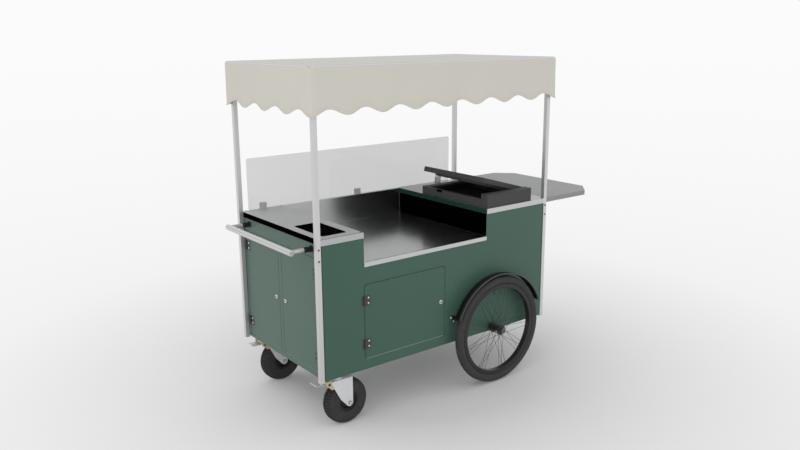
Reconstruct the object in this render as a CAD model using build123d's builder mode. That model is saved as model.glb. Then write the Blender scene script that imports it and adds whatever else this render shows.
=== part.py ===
from build123d import *
from math import cos, radians, sin
import os

# Overall sizes in millimetres, X along the cart, handle end at -X, near side at -Y
cab_len = 1686.0
cab_wid = 873.0
under_h = 308.0
counter_h = 1076.0
roof_h = 1942.0
grip_out = 100.0
shelf_out = 487.0

# Clearances
seam = 0.3
run_fit = 0.05
door_gap = 2.5

# Posts and base rails
post_side = 25.0
post_wall = 2.0
post_drop = 8.0
rail_w = 20.0
rail_h = 50.0
cross_side = 25.0
cross_wall = 2.0

# Bolts and screws
bolt_r = 3.0
bolt_head_flat = 5.0
bolt_head_h = 2.5
bolt_len = 9.0
left_bolt_drops = (48.0, 108.0)
right_bolt_drops = (44.0, 102.0)

# Sheet metal
panel_t = 2.0
panel_set = 2.0
top_t = 1.5
skirt_h = 30.0
jamb_d = 20.0
stop_w = 10.0
floor_in = 30.0

# Worktops and the sunken deck
left_top_len = 265.0
right_top_len = 510.0
well_drop = 165.0
lip_h = 24.0
pan_len = 290.0
pan_wid = 155.0
pan_in_x = 51.0
pan_y = -225.0
pan_r = 18.0
pan_lip = 9.0

# Doors
door_d = 16.0
door_t = 1.5
door_r = 16.0
side_door_in = 288.0
side_door_low = 59.0
door_guard_gap = 31.0
door_deck_gap = 121.0
sill_h = 26.0
header_h = 104.0
mull_w = 30.0
stile_w = 21.0

# Hinges
hinge_h = 54.0
hinge_off = 6.0
leaf_t = 2.0
leaf_w = 40.0
frame_leaf_w = 14.0
knuckle_r = 5.0
pin_r = 2.5
side_hinge_low = 87.0
side_hinge_top = 90.0
end_hinge_low = 84.0
end_hinge_top = 89.0

# Quarter-turn locks
lock_in = 32.0
lock_r = 11.0
lock_head = 6.0
lock_round = 1.5
key_slot_w = 2.0
key_slot_l = 12.0
lock_shank_r = 7.5
cam_len = 44.0
cam_w = 14.0
cam_t = 2.5
cam_gap = 1.2

# Push handle
grip_r = 16.0
grip_len = 724.0
grip_drop = 61.0
leg_r = 12.5
leg_in = 20.0
leg_y = grip_len / 2 - leg_in
flange_r = 18.0
flange_t = 6.0
socket_r = 14.6
socket_len = 36.0

# Glass guard
glass_t = 6.0
glass_in = 42.0
glass_lift = 0.5
glass_h = 307.5
glass_r = 12.0
clip_base = 10.0
clip_gap = 1.0
clip_w = 37.0
clip_d = 22.0
clip_h = 36.0
clip_x = 680.0

# Canopy
cover_t = 2.0
cover_edge_r = 13.0
cover_corner_r = 8.0
tube_r = 10.0
tube_bore_r = 8.5
valance_h = 244.0
wave_h = 33.0
long_wave_count = 8
short_wave_count = 4
bay_x = 290.0

# Large wheels
wheel_r = under_h + rail_h / 2
wheel_in = 456.0
wheel_off = 55.0
tyre_r = 26.0
tyre_wall = 4.0
tyre_high = 49.0
bead_half = 13.0
rim_deep = 24.0
rim_r = wheel_r - tyre_high
rim_in_r = rim_r - rim_deep
rim_half = 17.0
rim_wall = 4.0
hub_half = 47.0
hub_r = 17.0
hub_end_r = 14.0
hub_flange_r = 31.0
hub_flange_y = 30.0
hub_flange_half = 4.0
axle_r = 6.0
axle_collar_r = 23.0
axle_shank_r = 10.0
nut_r = 11.0
nut_t = 9.0
washer_r = 15.0
washer_t = 2.0
spoke_r = 1.0
spoke_pairs = 9
spoke_hole_r = 26.0
spoke_in = 3.0
spoke_rim_y = (1.5, 6.0)
spoke_swing = 68.0
spoke_bite = 2.0

# Mudguards
guard_gap = 13.0
guard_r = wheel_r + guard_gap
guard_t = 2.5
guard_off = 32.0
guard_w = 50.0
guard_crown = 5.0
guard_start = 20.0
guard_arc = 139.0
guard_feet = ((26.0, 0.0), (159.9, -33.4))
foot_in = 2.5
foot_len = 62.0
foot_w = 20.0
foot_t = 3.0
foot_pitch = 33.0
tongue_arc = 3.4
tongue_lap = 6.0

# Swivel casters
caster_in_x = 139.0
caster_in_y = 78.0
caster_head = 48.0
caster_r = (under_h - caster_head) / 2
caster_trail = 58.0
caster_half = 41.0
caster_deep = 75.0
caster_bead_r = caster_r - caster_deep
caster_tyre_wall = 8.0
caster_shoulder_r = 31.5
caster_lining_r = 22.5
caster_rim_half = 28.0
caster_web_half = 5.0
caster_hub_r = 17.0
plate_l = 140.0
plate_w = 110.0
plate_t = 5.0
plate_pitch_x = 105.0
plate_pitch_y = 80.0
plate_hole_r = 4.5
king_r = 10.0
king_head_r = 16.0
king_head_t = 4.5
race_r = 39.0
race_h = 25.0
race_round = 6.0
bridge_t = 6.0
fork_half = 46.0
fork_t = 5.0
fork_front = 56.0
fork_eye_r = 21.0
neck_x = 1.5
neck_drop = 147.0
bolt_head_r = 10.5
bolt_head_t = 7.0

# Caster brakes
brake_t = 2.5
brake_front = 84.0
brake_nose = 50.0
brake_rear = 18.0
brake_top_drop = 22.0
brake_low_drop = 76.0
pedal_x = -66.0
pedal_drop = 42.0
pedal_tube_r = 8.0
pedal_pin_r = 4.0
pedal_t = 3.0
pedal_w = 60.0
pedal_bend_x = -137.5
pedal_bend_drop = 40.0
pedal_tip_x = -144.0
pedal_tip_drop = 32.0

# Lidded box
box_in = 8.0
box_near_in = 6.0
box_len = 368.0
box_wid = 608.0
box_h = 80.0
box_round = 3.0
box_wall = 22.0
box_base = 10.0
cheek_w = 56.0
ear_len = 20.0
ear_gap = 8.0
lid_t = 32.0
lid_back = 13.0
lid_side_gap = 1.0
lid_plug = 12.0
lid_plug_in = 30.0
lid_skin = 12.0
lid_edge_r = 4.0
lid_pin_r = 5.0
lid_pin_len = 16.0
lid_open = 16.0

# Side shelf, its hinges and its brace
shelf_wid = 850.0
shelf_cut = 108.0
shelf_gap = 1.0
shelf_axis_out = 7.0
shelf_axis_drop = 7.0
shelf_flange = 18.0
shelf_knuckle_r = 6.0
shelf_pin_r = 3.0
shelf_hinge_w = 90.0
shelf_hinge_y = (-330.0, 0.0, 330.0)
shelf_leaf_h = 32.0
shelf_leaf_t = 2.5
brace_a = 200.0
brace_y = 270.0
brace_r = 5.0
brace_bend_r = 10.0
brace_pin_len = 28.0
stay_w = 40.0
stay_wall = 2.0
lug_w = 16.0
lug_h = 20.0

# Derived positions
handle_out = grip_out + grip_r
left_face = -(handle_out + cab_len + shelf_out) / 2 + handle_out
right_face = left_face + cab_len
cab_x = (left_face + right_face) / 2
near_face = -cab_wid / 2
far_face = cab_wid / 2
left_in = left_face + post_side
right_in = right_face - post_side
skirt_z = counter_h - skirt_h
panel_y = far_face - panel_set
panel_x0 = left_in + top_t + 2 * seam
panel_x1 = right_in - top_t - 2 * seam
panel_top = skirt_z - seam
frame_half = far_face - post_side - seam
end_x = left_in + panel_set + seam
shelf_panel_x = right_face - panel_set
well_x0 = left_in + left_top_len
well_x1 = right_face - right_top_len
well_z = counter_h - well_drop
well_y = far_face - post_side
rail_y = panel_y - panel_t - seam - rail_w / 2
rail_inner = rail_y - rail_w / 2
axle_h = wheel_r
wheel_x = right_face - wheel_in
side_door_w = wheel_x - guard_r - door_guard_gap - left_face - side_door_in
side_door_h = well_z - door_deck_gap - under_h - side_door_low
wheel_y = panel_y + wheel_off
swivel_x = left_face + caster_in_x
swivel_y = near_face + caster_in_y
brake_top = under_h - brake_top_drop
brake_low = under_h - brake_low_drop
pedal_z = under_h - pedal_drop
post_top = roof_h - cover_t - seam


# Add or cut a box between two corners
def block(x, y, z, mode=Mode.ADD):
    with Locations(((x[0] + x[1]) / 2, (y[0] + y[1]) / 2, (z[0] + z[1]) / 2)):
        Box(x[1] - x[0], y[1] - y[0], z[1] - z[0], mode=mode)


# Mirror a near-side piece to the far side
def far_copy(near):
    with BuildPart() as copy:
        mirror(near.part, about=Plane.XZ)
    return copy


# Four square-tube posts, drilled for the frame bolts
bolt_spots = [(left_face, drop) for drop in left_bolt_drops] + [(right_in, drop) for drop in right_bolt_drops]
with BuildPart() as corner_posts:
    with BuildSketch(Plane.XY.offset(under_h - post_drop)):
        with Locations((cab_x, 0)):
            with GridLocations(cab_len - post_side, cab_wid - post_side, 2, 2):
                Rectangle(post_side, post_side)
                Rectangle(post_side - 2 * post_wall, post_side - 2 * post_wall, mode=Mode.SUBTRACT)
    extrude(amount=post_top - under_h + post_drop)
    for y in (near_face, far_face - post_wall):
        with BuildSketch(Plane.XZ.offset(-y)):
            with Locations(*[(x + post_side / 2, counter_h - drop) for x, drop in bolt_spots]):
                Circle(bolt_r + seam)
        extrude(amount=-post_wall, mode=Mode.SUBTRACT)

# Long base rails, pierced for the wheel axles
with BuildPart() as base_long_rails:
    with BuildSketch(Plane.YZ.offset(left_in + seam)):
        with Locations((-rail_y, under_h + rail_h / 2), (rail_y, under_h + rail_h / 2)):
            Rectangle(rail_w, rail_h)
            Rectangle(rail_w - 2 * cross_wall, rail_h - 2 * cross_wall, mode=Mode.SUBTRACT)
    extrude(amount=right_in - left_in - 2 * seam)
    with BuildSketch(Plane.XZ):
        with Locations((wheel_x, axle_h)):
            Circle(axle_shank_r + seam)
    extrude(amount=cab_wid, both=True, mode=Mode.SUBTRACT)

# Cross rails, one pair over the casters
cross_x = [swivel_x - plate_pitch_x / 2, swivel_x + plate_pitch_x / 2, cab_x - cab_len / 8]
cross_x += [cab_x + cab_len / 8, right_in - cross_side]
with BuildPart() as base_cross_rails:
    with BuildSketch(Plane.XZ.offset(rail_inner - seam)):
        with Locations(*[(x, under_h + cross_side / 2) for x in cross_x]):
            Rectangle(cross_side, cross_side)
            Rectangle(cross_side - 2 * cross_wall, cross_side - 2 * cross_wall, mode=Mode.SUBTRACT)
    extrude(amount=-2 * (rail_inner - seam))
    with BuildSketch(Plane.XY.offset(under_h)):
        for side in (-1, 1):
            with Locations((swivel_x, side * swivel_y)):
                with GridLocations(plate_pitch_x, plate_pitch_y, 2, 2):
                    Circle(plate_hole_r)
    extrude(amount=cross_side, mode=Mode.SUBTRACT)

# Cabinet floor sheet on the cross rails
floor_z = under_h + cross_side + seam
with BuildPart() as cabinet_floor:
    block((left_in + floor_in, shelf_panel_x - panel_t - seam), (-frame_half, frame_half),
          (floor_z, floor_z + panel_t))

# Mudguard screw places on the panels
foot_r = guard_r - foot_in
foot_places = [
    (wheel_x + foot_r * cos(radians(angle)), axle_h + foot_r * sin(radians(angle)), angle + lean)
    for angle, lean in guard_feet]
foot_spots = [
    (x + shift * cos(radians(turn)), z + shift * sin(radians(turn)))
    for x, z, turn in foot_places for shift in (-foot_pitch / 2, foot_pitch / 2)]

# Near panel, stepped for the deck, with a jamb and a stop round the door
door_x = left_face + side_door_in + side_door_w / 2
door_z = under_h + side_door_low + side_door_h / 2
open_w = side_door_w + 2 * door_gap
open_h = side_door_h + 2 * door_gap
open_r = door_r + door_gap
with BuildPart() as near_panel:
    with BuildSketch(Plane.XZ.offset(panel_y)):
        with BuildLine():
            Polyline(
                (panel_x0, under_h), (panel_x1, under_h), (panel_x1, panel_top), (well_x1, panel_top),
                (well_x1, well_z - top_t - seam), (well_x0, well_z - top_t - seam), (well_x0, panel_top),
                (panel_x0, panel_top), close=True)
        make_face()
        with Locations((door_x, door_z)):
            RectangleRounded(open_w, open_h, open_r, mode=Mode.SUBTRACT)
        with Locations((wheel_x, axle_h)):
            Circle(axle_shank_r + seam, mode=Mode.SUBTRACT)
        with Locations(*foot_spots):
            Circle(bolt_r + seam, mode=Mode.SUBTRACT)
    extrude(amount=-panel_t)
    with BuildSketch(Plane.XZ.offset(panel_y - panel_t)):
        with Locations((door_x, door_z)):
            RectangleRounded(open_w + 2 * panel_t, open_h + 2 * panel_t, open_r + panel_t)
            RectangleRounded(open_w, open_h, open_r, mode=Mode.SUBTRACT)
    extrude(amount=-jamb_d)
    with BuildSketch(Plane.XZ.offset(panel_y - panel_t - jamb_d)):
        with Locations((door_x, door_z)):
            RectangleRounded(open_w + 2 * panel_t, open_h + 2 * panel_t, open_r + panel_t)
            RectangleRounded(open_w - 2 * stop_w, open_h - 2 * stop_w, open_r - stop_w / 2,
                             mode=Mode.SUBTRACT)
    extrude(amount=-panel_t)

# Far panel, plain and full height
with BuildPart() as far_panel:
    with BuildSketch(Plane.XZ.offset(-panel_y)):
        with BuildLine():
            Polyline((panel_x0, under_h), (panel_x1, under_h), (panel_x1, panel_top), (panel_x0, panel_top),
                     close=True)
        make_face()
        with Locations((wheel_x, axle_h)):
            Circle(axle_shank_r + seam, mode=Mode.SUBTRACT)
        with Locations(*foot_spots):
            Circle(bolt_r + seam, mode=Mode.SUBTRACT)
    extrude(amount=panel_t)

# End frame under the push handle: header, sill, stiles and mullion round two door openings
end_open_w = frame_half - stile_w - mull_w / 2
end_open_h = counter_h - header_h - under_h - sill_h
end_open_y = mull_w / 2 + end_open_w / 2
end_open_z = under_h + sill_h + end_open_h / 2
with BuildPart() as handle_end_frame:
    with BuildSketch(Plane.YZ.offset(end_x)):
        with Locations((0, (under_h + panel_top) / 2)):
            Rectangle(2 * frame_half, panel_top - under_h)
        with Locations((-end_open_y, end_open_z), (end_open_y, end_open_z)):
            Rectangle(end_open_w, end_open_h, mode=Mode.SUBTRACT)
    extrude(amount=panel_t)
    with BuildSketch(Plane.YZ.offset(end_x + panel_t)):
        with Locations((-end_open_y, end_open_z), (end_open_y, end_open_z)):
            Rectangle(end_open_w + 2 * panel_t, end_open_h + 2 * panel_t)
            Rectangle(end_open_w, end_open_h, mode=Mode.SUBTRACT)
    extrude(amount=jamb_d)
    with BuildSketch(Plane.YZ.offset(end_x + panel_t + jamb_d)):
        with Locations((-end_open_y, end_open_z), (end_open_y, end_open_z)):
            Rectangle(end_open_w + 2 * panel_t, end_open_h + 2 * panel_t)
            Rectangle(end_open_w - 2 * stop_w, end_open_h - 2 * stop_w, mode=Mode.SUBTRACT)
    extrude(amount=panel_t)

# Panel at the shelf end
with BuildPart() as shelf_end_panel:
    block((shelf_panel_x - panel_t, shelf_panel_x), (-frame_half, frame_half), (under_h, panel_top))

# Left worktop, a folded steel top with a lipped pan cut-out
pan_x = left_in + pan_in_x + pan_wid / 2
with BuildPart() as left_worktop:
    with BuildSketch(Plane.XY.offset(skirt_z)):
        with Locations(((left_in + seam + well_x0) / 2, 0)):
            Rectangle(well_x0 - left_in - seam, cab_wid)
    extrude(amount=skirt_h)
    offset(amount=-top_t, openings=left_worktop.faces().sort_by(Axis.Z)[0], kind=Kind.INTERSECTION)
    with BuildSketch(Plane.XY.offset(counter_h - pan_lip)):
        with Locations((pan_x, pan_y)):
            RectangleRounded(pan_wid + 2 * top_t, pan_len + 2 * top_t, pan_r + top_t)
    extrude(amount=pan_lip)
    with BuildSketch(Plane.XY.offset(skirt_z)):
        with Locations((pan_x, pan_y)):
            RectangleRounded(pan_wid, pan_len, pan_r)
    extrude(amount=skirt_h, mode=Mode.SUBTRACT)

# Sunken deck: floor with a lip at the near edge, side walls, back wall and back rim
with BuildPart() as well_liner:
    block((well_x0 - top_t, well_x1 + top_t), (-panel_y + panel_t + seam, well_y), (well_z - top_t, well_z))
    block((well_x0 + seam, well_x1 - seam), (near_face, -panel_y + panel_t + seam), (well_z - top_t, well_z))
    block((well_x0 + seam, well_x1 - seam), (near_face, near_face + top_t), (well_z - lip_h, well_z))
    for x in (well_x0 - top_t, well_x1):
        block((x, x + top_t), (-panel_y + panel_t + seam, well_y), (well_z - top_t, skirt_z - seam))
    block((well_x0 - top_t, well_x1 + top_t), (well_y - top_t, well_y), (well_z - top_t, skirt_z - seam))
    block((well_x0 + seam, well_x1 - seam), (well_y - top_t, well_y), (skirt_z - seam, counter_h))
    block((well_x0 + seam, well_x1 - seam), (well_y - top_t, far_face), (counter_h - top_t, counter_h))
    block((well_x0 + seam, well_x1 - seam), (far_face - top_t, far_face), (skirt_z, counter_h))

# Right worktop, notched round the posts of the shelf end
with BuildPart() as right_worktop:
    with BuildSketch(Plane.XY.offset(skirt_z)):
        with Locations(((well_x1 + right_in - seam) / 2, 0)):
            Rectangle(right_in - seam - well_x1, cab_wid)
        with Locations(((well_x1 + right_face) / 2, 0)):
            Rectangle(right_face - well_x1, 2 * frame_half)
    extrude(amount=skirt_h)
    offset(amount=-top_t, openings=right_worktop.faces().sort_by(Axis.Z)[0], kind=Kind.INTERSECTION)

# Hinge frames: local X runs along the door, local Y into the cabinet, origin on the pin
side_axis = (left_face + side_door_in - door_gap / 2, -panel_y - hinge_off)
end_axis_y = frame_half - stile_w - door_gap / 2
side_hinges = [
    Plane(origin=(side_axis[0], side_axis[1], under_h + side_door_low + h), x_dir=(1, 0, 0), z_dir=(0, 0, 1))
    for h in (side_hinge_low, side_door_h - side_hinge_top)]
end_hinge_heights = (end_hinge_low, end_open_h - end_hinge_top)
far_hinges = [
    Plane(origin=(end_x - hinge_off, end_axis_y, under_h + sill_h + h), x_dir=(0, -1, 0), z_dir=(0, 0, 1))
    for h in end_hinge_heights]
near_hinges = [
    Plane(origin=(end_x - hinge_off, -end_axis_y, under_h + sill_h + h), x_dir=(0, 1, 0), z_dir=(0, 0, -1))
    for h in end_hinge_heights]
leaf_y = hinge_off - leaf_t / 2
leaf_in = knuckle_r + 2 * seam
knuckle_h = hinge_h / 3


# Leaves on one door, each with the middle knuckle round the pin
def door_leaves(hinges):
    with BuildPart() as leaves:
        for hinge in hinges:
            with BuildSketch(hinge.offset(-hinge_h / 2)):
                with Locations(((leaf_in + leaf_w) / 2, leaf_y)):
                    Rectangle(leaf_w - leaf_in, leaf_t)
            extrude(amount=hinge_h)
            with BuildSketch(hinge.offset(-knuckle_h / 2 + seam)):
                Circle(knuckle_r)
                with Locations((leaf_in / 2, leaf_y)):
                    Rectangle(leaf_in, leaf_t)
                Circle(pin_r + run_fit, mode=Mode.SUBTRACT)
            extrude(amount=knuckle_h - 2 * seam)
    return leaves


# Leaves on the frames, each with two knuckles and the pin
with BuildPart() as hinge_frame_leaves:
    for hinge in side_hinges + far_hinges + near_hinges:
        with BuildSketch(hinge.offset(-hinge_h / 2)):
            with Locations((-(leaf_in + frame_leaf_w) / 2, leaf_y)):
                Rectangle(frame_leaf_w - leaf_in, leaf_t)
            Circle(pin_r)
        extrude(amount=hinge_h)
        for low in (-hinge_h / 2, knuckle_h / 2):
            with BuildSketch(hinge.offset(low)):
                Circle(knuckle_r)
                with Locations((-leaf_in / 2, leaf_y)):
                    Rectangle(leaf_in, leaf_t)
            extrude(amount=knuckle_h)

near_door_leaves = door_leaves(side_hinges)
end_door_far_leaves = door_leaves(far_hinges)
end_door_near_leaves = door_leaves(near_hinges)

# Near door, a folded tray with a lock hole
side_lock_x = door_x + side_door_w / 2 - lock_in
with BuildPart() as near_door:
    with BuildSketch(Plane.XZ.offset(panel_y)):
        with Locations((door_x, door_z)):
            RectangleRounded(side_door_w, side_door_h, door_r)
    extrude(amount=-door_d)
    offset(amount=-door_t, openings=near_door.faces().sort_by(Axis.Y)[-1])
    with BuildSketch(Plane.XZ.offset(panel_y)):
        with Locations((side_lock_x, door_z)):
            Circle(lock_shank_r + run_fit)
    extrude(amount=-door_d, mode=Mode.SUBTRACT)

# End doors, folded trays with a lock hole beside the mullion
end_door_w = end_open_w - 2 * door_gap
end_door_h = end_open_h - 2 * door_gap
end_lock_y = mull_w / 2 + door_gap + lock_in


# One end door, on the side given by its sign
def end_door(side):
    with BuildPart() as door:
        with BuildSketch(Plane.YZ.offset(end_x)):
            with Locations((side * end_open_y, end_open_z)):
                Rectangle(end_door_w, end_door_h)
        extrude(amount=door_d)
        offset(amount=-door_t, openings=door.faces().sort_by(Axis.X)[-1], kind=Kind.INTERSECTION)
        with BuildSketch(Plane.YZ.offset(end_x)):
            with Locations((side * end_lock_y, end_open_z)):
                Circle(lock_shank_r + run_fit)
        extrude(amount=door_d, mode=Mode.SUBTRACT)
    return door


end_door_near = end_door(-1)
end_door_far = end_door(1)

# Lock frames: local Z points out of the door, local Y up
side_lock = Plane(origin=(side_lock_x, -panel_y, door_z), x_dir=(1, 0, 0), z_dir=(0, -1, 0))
near_lock = Plane(origin=(end_x, -end_lock_y, end_open_z), x_dir=(0, -1, 0), z_dir=(-1, 0, 0))
far_lock = Plane(origin=(end_x, end_lock_y, end_open_z), x_dir=(0, -1, 0), z_dir=(-1, 0, 0))
cam_z = panel_t + jamb_d + panel_t + cam_gap


# Lock plug with a slotted head outside, and a cam hanging down inside
def quarter_lock(frame):
    with BuildPart() as lock:
        with BuildSketch(frame.offset(seam)):
            Circle(lock_r)
        extrude(amount=lock_head)
        fillet(lock.edges().filter_by(GeomType.CIRCLE).group_by(SortBy.DISTANCE)[-1], lock_round)
        with BuildSketch(frame.offset(seam + lock_head - lock_round)):
            Rectangle(key_slot_w, key_slot_l)
        extrude(amount=key_slot_w, mode=Mode.SUBTRACT)
        with BuildSketch(frame.offset(seam)):
            Circle(lock_shank_r)
        extrude(amount=-cam_z - seam)
        with BuildSketch(frame.offset(-cam_z)):
            with Locations((0, -cam_len / 2 + cam_w / 2)):
                SlotOverall(cam_len, cam_w, rotation=90)
        extrude(amount=-cam_t)
    return lock


near_door_lock = quarter_lock(side_lock)
end_door_near_lock = quarter_lock(near_lock)
end_door_far_lock = quarter_lock(far_lock)

# Push handle: grip bar on two legs
grip_x = left_face - grip_out
grip_z = counter_h - grip_drop
with BuildPart() as push_handle:
    with BuildSketch(Plane.XZ):
        with Locations((grip_x, grip_z)):
            Circle(grip_r)
    extrude(amount=grip_len / 2, both=True)
    fillet(push_handle.edges().filter_by(GeomType.CIRCLE), grip_r / 4)
    with BuildSketch(Plane.YZ.offset(grip_x)):
        with Locations((-leg_y, grip_z), (leg_y, grip_z)):
            Circle(leg_r)
    extrude(amount=end_x - grip_x - seam)

# Flanged handle sockets
with BuildPart() as handle_sockets:
    with BuildSketch(Plane.YZ.offset(end_x)):
        with Locations((-leg_y, grip_z), (leg_y, grip_z)):
            Circle(flange_r)
            Circle(leg_r + run_fit, mode=Mode.SUBTRACT)
    extrude(amount=-flange_t)
    with BuildSketch(Plane.YZ.offset(end_x - flange_t)):
        with Locations((-leg_y, grip_z), (leg_y, grip_z)):
            Circle(socket_r)
            Circle(leg_r + run_fit, mode=Mode.SUBTRACT)
    extrude(amount=flange_t - socket_len)

# Glass guard, notched over its slotted clips
glass_y = far_face - post_side / 2
glass_half = cab_len / 2 - post_side - glass_in
with BuildPart() as glass_guard:
    with BuildSketch(Plane.XZ.offset(-glass_y + glass_t / 2)):
        with Locations((cab_x, counter_h + glass_lift + glass_h / 2)):
            RectangleRounded(2 * glass_half, glass_h, glass_r)
        with Locations(*[(cab_x + x, counter_h + clip_base / 2) for x in (-clip_x, 0, clip_x)]):
            Rectangle(clip_w + 2 * clip_gap, clip_base, mode=Mode.SUBTRACT)
    extrude(amount=-glass_t)
slot_half = glass_t / 2 + run_fit
with BuildPart() as glass_clips:
    for x in (cab_x - clip_x, cab_x, cab_x + clip_x):
        block((x - clip_w / 2, x + clip_w / 2), (glass_y - clip_d / 2, glass_y + clip_d / 2),
              (counter_h, counter_h + clip_h))
        block((x - clip_w, x + clip_w), (glass_y - slot_half, glass_y + slot_half),
              (counter_h + clip_base - seam, counter_h + clip_h), mode=Mode.SUBTRACT)

# Canopy frame of round tubes outside the post tops
tube_z = post_top - tube_r
tube_y = far_face + seam + tube_r
tube_x = cab_len / 2 + seam + tube_r
with BuildPart() as canopy_frame:
    long_half = tube_x + tube_r - cover_corner_r
    with BuildSketch(Plane.YZ.offset(cab_x - long_half)):
        with Locations((-tube_y, tube_z), (tube_y, tube_z)):
            Circle(tube_r)
            Circle(tube_bore_r, mode=Mode.SUBTRACT)
    extrude(amount=2 * long_half)
    short_half = tube_y - tube_r - seam
    with BuildSketch(Plane.XZ.offset(short_half)):
        with Locations(*[(cab_x + x, tube_z) for x in (-tube_x, -bay_x, bay_x, tube_x)]):
            Circle(tube_r)
            Circle(tube_bore_r, mode=Mode.SUBTRACT)
    extrude(amount=-2 * short_half)

# Canopy cover: flat top, rounded edges and a waved valance
cover_half_x = tube_x + tube_r + seam + cover_t
cover_half_y = tube_y + tube_r + seam + cover_t
wave_low = roof_h - valance_h


# Area under the waved edge of one side, low at both corners
def wave_area(plane, span, count):
    step = span / (2 * count)
    middle = wave_low + wave_h / 2
    end = (span + step) / 2
    with BuildSketch(plane) as area:
        with BuildLine():
            for i in range(2 * count + 1):
                x = i * step - span / 2
                peak = middle + (i % 2 - 0.5) * wave_h
                ThreePointArc((x - step / 2, middle), (x, peak), (x + step / 2, middle))
            Polyline((end, middle), (end, wave_low - wave_h), (-end, wave_low - wave_h), (-end, middle))
        make_face()
    return area.sketch


long_plane = Plane(origin=(cab_x, 0, 0), x_dir=(1, 0, 0), z_dir=(0, -1, 0))
short_plane = Plane(origin=(cab_x, 0, 0), x_dir=(0, 1, 0), z_dir=(1, 0, 0))
long_waves = wave_area(long_plane, 2 * cover_half_x, long_wave_count)
short_waves = wave_area(short_plane, 2 * cover_half_y, short_wave_count)
with BuildPart() as canopy_cover:
    with BuildSketch(Plane.XY.offset(wave_low)):
        with Locations((cab_x, 0)):
            Rectangle(2 * cover_half_x, 2 * cover_half_y)
    extrude(amount=valance_h)
    fillet(canopy_cover.edges().filter_by(Axis.Z), cover_corner_r)
    fillet(canopy_cover.faces().sort_by(Axis.Z)[-1].edges(), cover_edge_r)
    offset(amount=-cover_t, openings=canopy_cover.faces().sort_by(Axis.Z)[0])
    extrude(long_waves, amount=cab_wid, both=True, mode=Mode.SUBTRACT)
    extrude(short_waves, amount=cab_len, both=True, mode=Mode.SUBTRACT)

# Large wheel: profiles drawn with X as radius and Y along the axle
wheel_plane = Plane(origin=(wheel_x, -wheel_y, axle_h))
wheel_axis = Axis((wheel_x, -wheel_y, axle_h), (0, 1, 0))
with BuildPart() as wheel_near_tyre:
    with BuildSketch(wheel_plane):
        with Locations((wheel_r - tyre_r, 0)):
            Circle(tyre_r)
            Circle(tyre_r - tyre_wall, mode=Mode.SUBTRACT)
        with Locations((wheel_r - 2 * tyre_r, 0)):
            Rectangle(tyre_r, 2 * bead_half, mode=Mode.SUBTRACT)
    revolve(axis=wheel_axis)
with BuildPart() as wheel_near_rim:
    with BuildSketch(wheel_plane):
        with Locations(((rim_in_r + rim_r) / 2, 0)):
            Rectangle(rim_r - rim_in_r, 2 * rim_half)
        with Locations(((rim_in_r + rim_r) / 2 + rim_wall, 0)):
            Rectangle(rim_r - rim_in_r, 2 * (rim_half - rim_wall), mode=Mode.SUBTRACT)
    revolve(axis=wheel_axis)
    fillet(wheel_near_rim.edges().filter_by(GeomType.CIRCLE).group_by(SortBy.RADIUS)[0], rim_wall / 2)
with BuildPart() as wheel_near_hub:
    with BuildSketch(wheel_plane):
        with BuildLine():
            Polyline((axle_r + run_fit, -hub_half), (hub_end_r, -hub_half), (hub_r, -hub_flange_y),
                     (hub_r, hub_flange_y), (hub_end_r, hub_half), (axle_r + run_fit, hub_half), close=True)
        make_face()
        with Locations((hub_flange_r / 2 + axle_r, -hub_flange_y), (hub_flange_r / 2 + axle_r, hub_flange_y)):
            Rectangle(hub_flange_r - 2 * axle_r, 2 * hub_flange_half)
    revolve(axis=wheel_axis)
spoke_step = 360 / spoke_pairs
with BuildPart() as wheel_near_spokes:
    for side in (-1, 1):
        for i in range(spoke_pairs):
            for lean, rim_y in zip((-1, 1), spoke_rim_y):
                turn = (i + side / 8 + lean / 4) * spoke_step
                start = radians(turn)
                end = radians(turn + lean * spoke_swing)
                hub_y = hub_flange_y + lean * spoke_in
                inner = wheel_plane.from_local_coords(
                    Vector(spoke_hole_r * cos(start), side * hub_y, spoke_hole_r * sin(start)))
                tip_r = rim_in_r + spoke_bite
                outer = wheel_plane.from_local_coords(
                    Vector(tip_r * cos(end), side * rim_y, tip_r * sin(end)))
                with BuildSketch(Plane(origin=inner, z_dir=outer - inner)):
                    Circle(spoke_r)
                extrude(amount=(outer - inner).length)

# Stub axle with a collar on the panel, and the wheel nuts
axle_end = wheel_y + hub_half + seam + washer_t + nut_t
with BuildPart() as axle_near:
    with BuildSketch(Plane.XZ.offset(rail_inner + seam)):
        with Locations((wheel_x, axle_h)):
            Circle(axle_shank_r)
    extrude(amount=panel_y - rail_inner - seam)
    with BuildSketch(Plane.XZ.offset(panel_y)):
        with Locations((wheel_x, axle_h)):
            Circle(axle_collar_r)
    extrude(amount=wheel_off - hub_half - seam)
    with BuildSketch(Plane.XZ.offset(panel_y)):
        with Locations((wheel_x, axle_h)):
            Circle(axle_r)
    extrude(amount=axle_end - panel_y)
with BuildPart() as axle_nuts:
    for side in (-1, 1):
        with BuildSketch(Plane.XZ.offset(side * (wheel_y + hub_half + seam))):
            with Locations((wheel_x, axle_h)):
                Circle(washer_r)
                Circle(axle_r + run_fit, mode=Mode.SUBTRACT)
        extrude(amount=side * washer_t)
        with BuildSketch(Plane.XZ.offset(side * (wheel_y + hub_half + seam + washer_t))):
            with Locations((wheel_x, axle_h)):
                RegularPolygon(nut_r, 6)
                Circle(axle_r + run_fit, mode=Mode.SUBTRACT)
        extrude(amount=side * nut_t)

# Mudguard: a crowned band turned round the axle, on two tongues with screwed feet on the panel
guard_axis = Axis((wheel_x, -panel_y, axle_h), (0, -1, 0))
guard_edge = guard_off + guard_w


# Plane through the axle at an angle round it, with X outwards
def axle_plane(angle):
    turn = radians(angle)
    return Plane(
        origin=(wheel_x, -panel_y, axle_h),
        x_dir=(cos(turn), 0, sin(turn)),
        z_dir=(-sin(turn), 0, cos(turn)))


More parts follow.
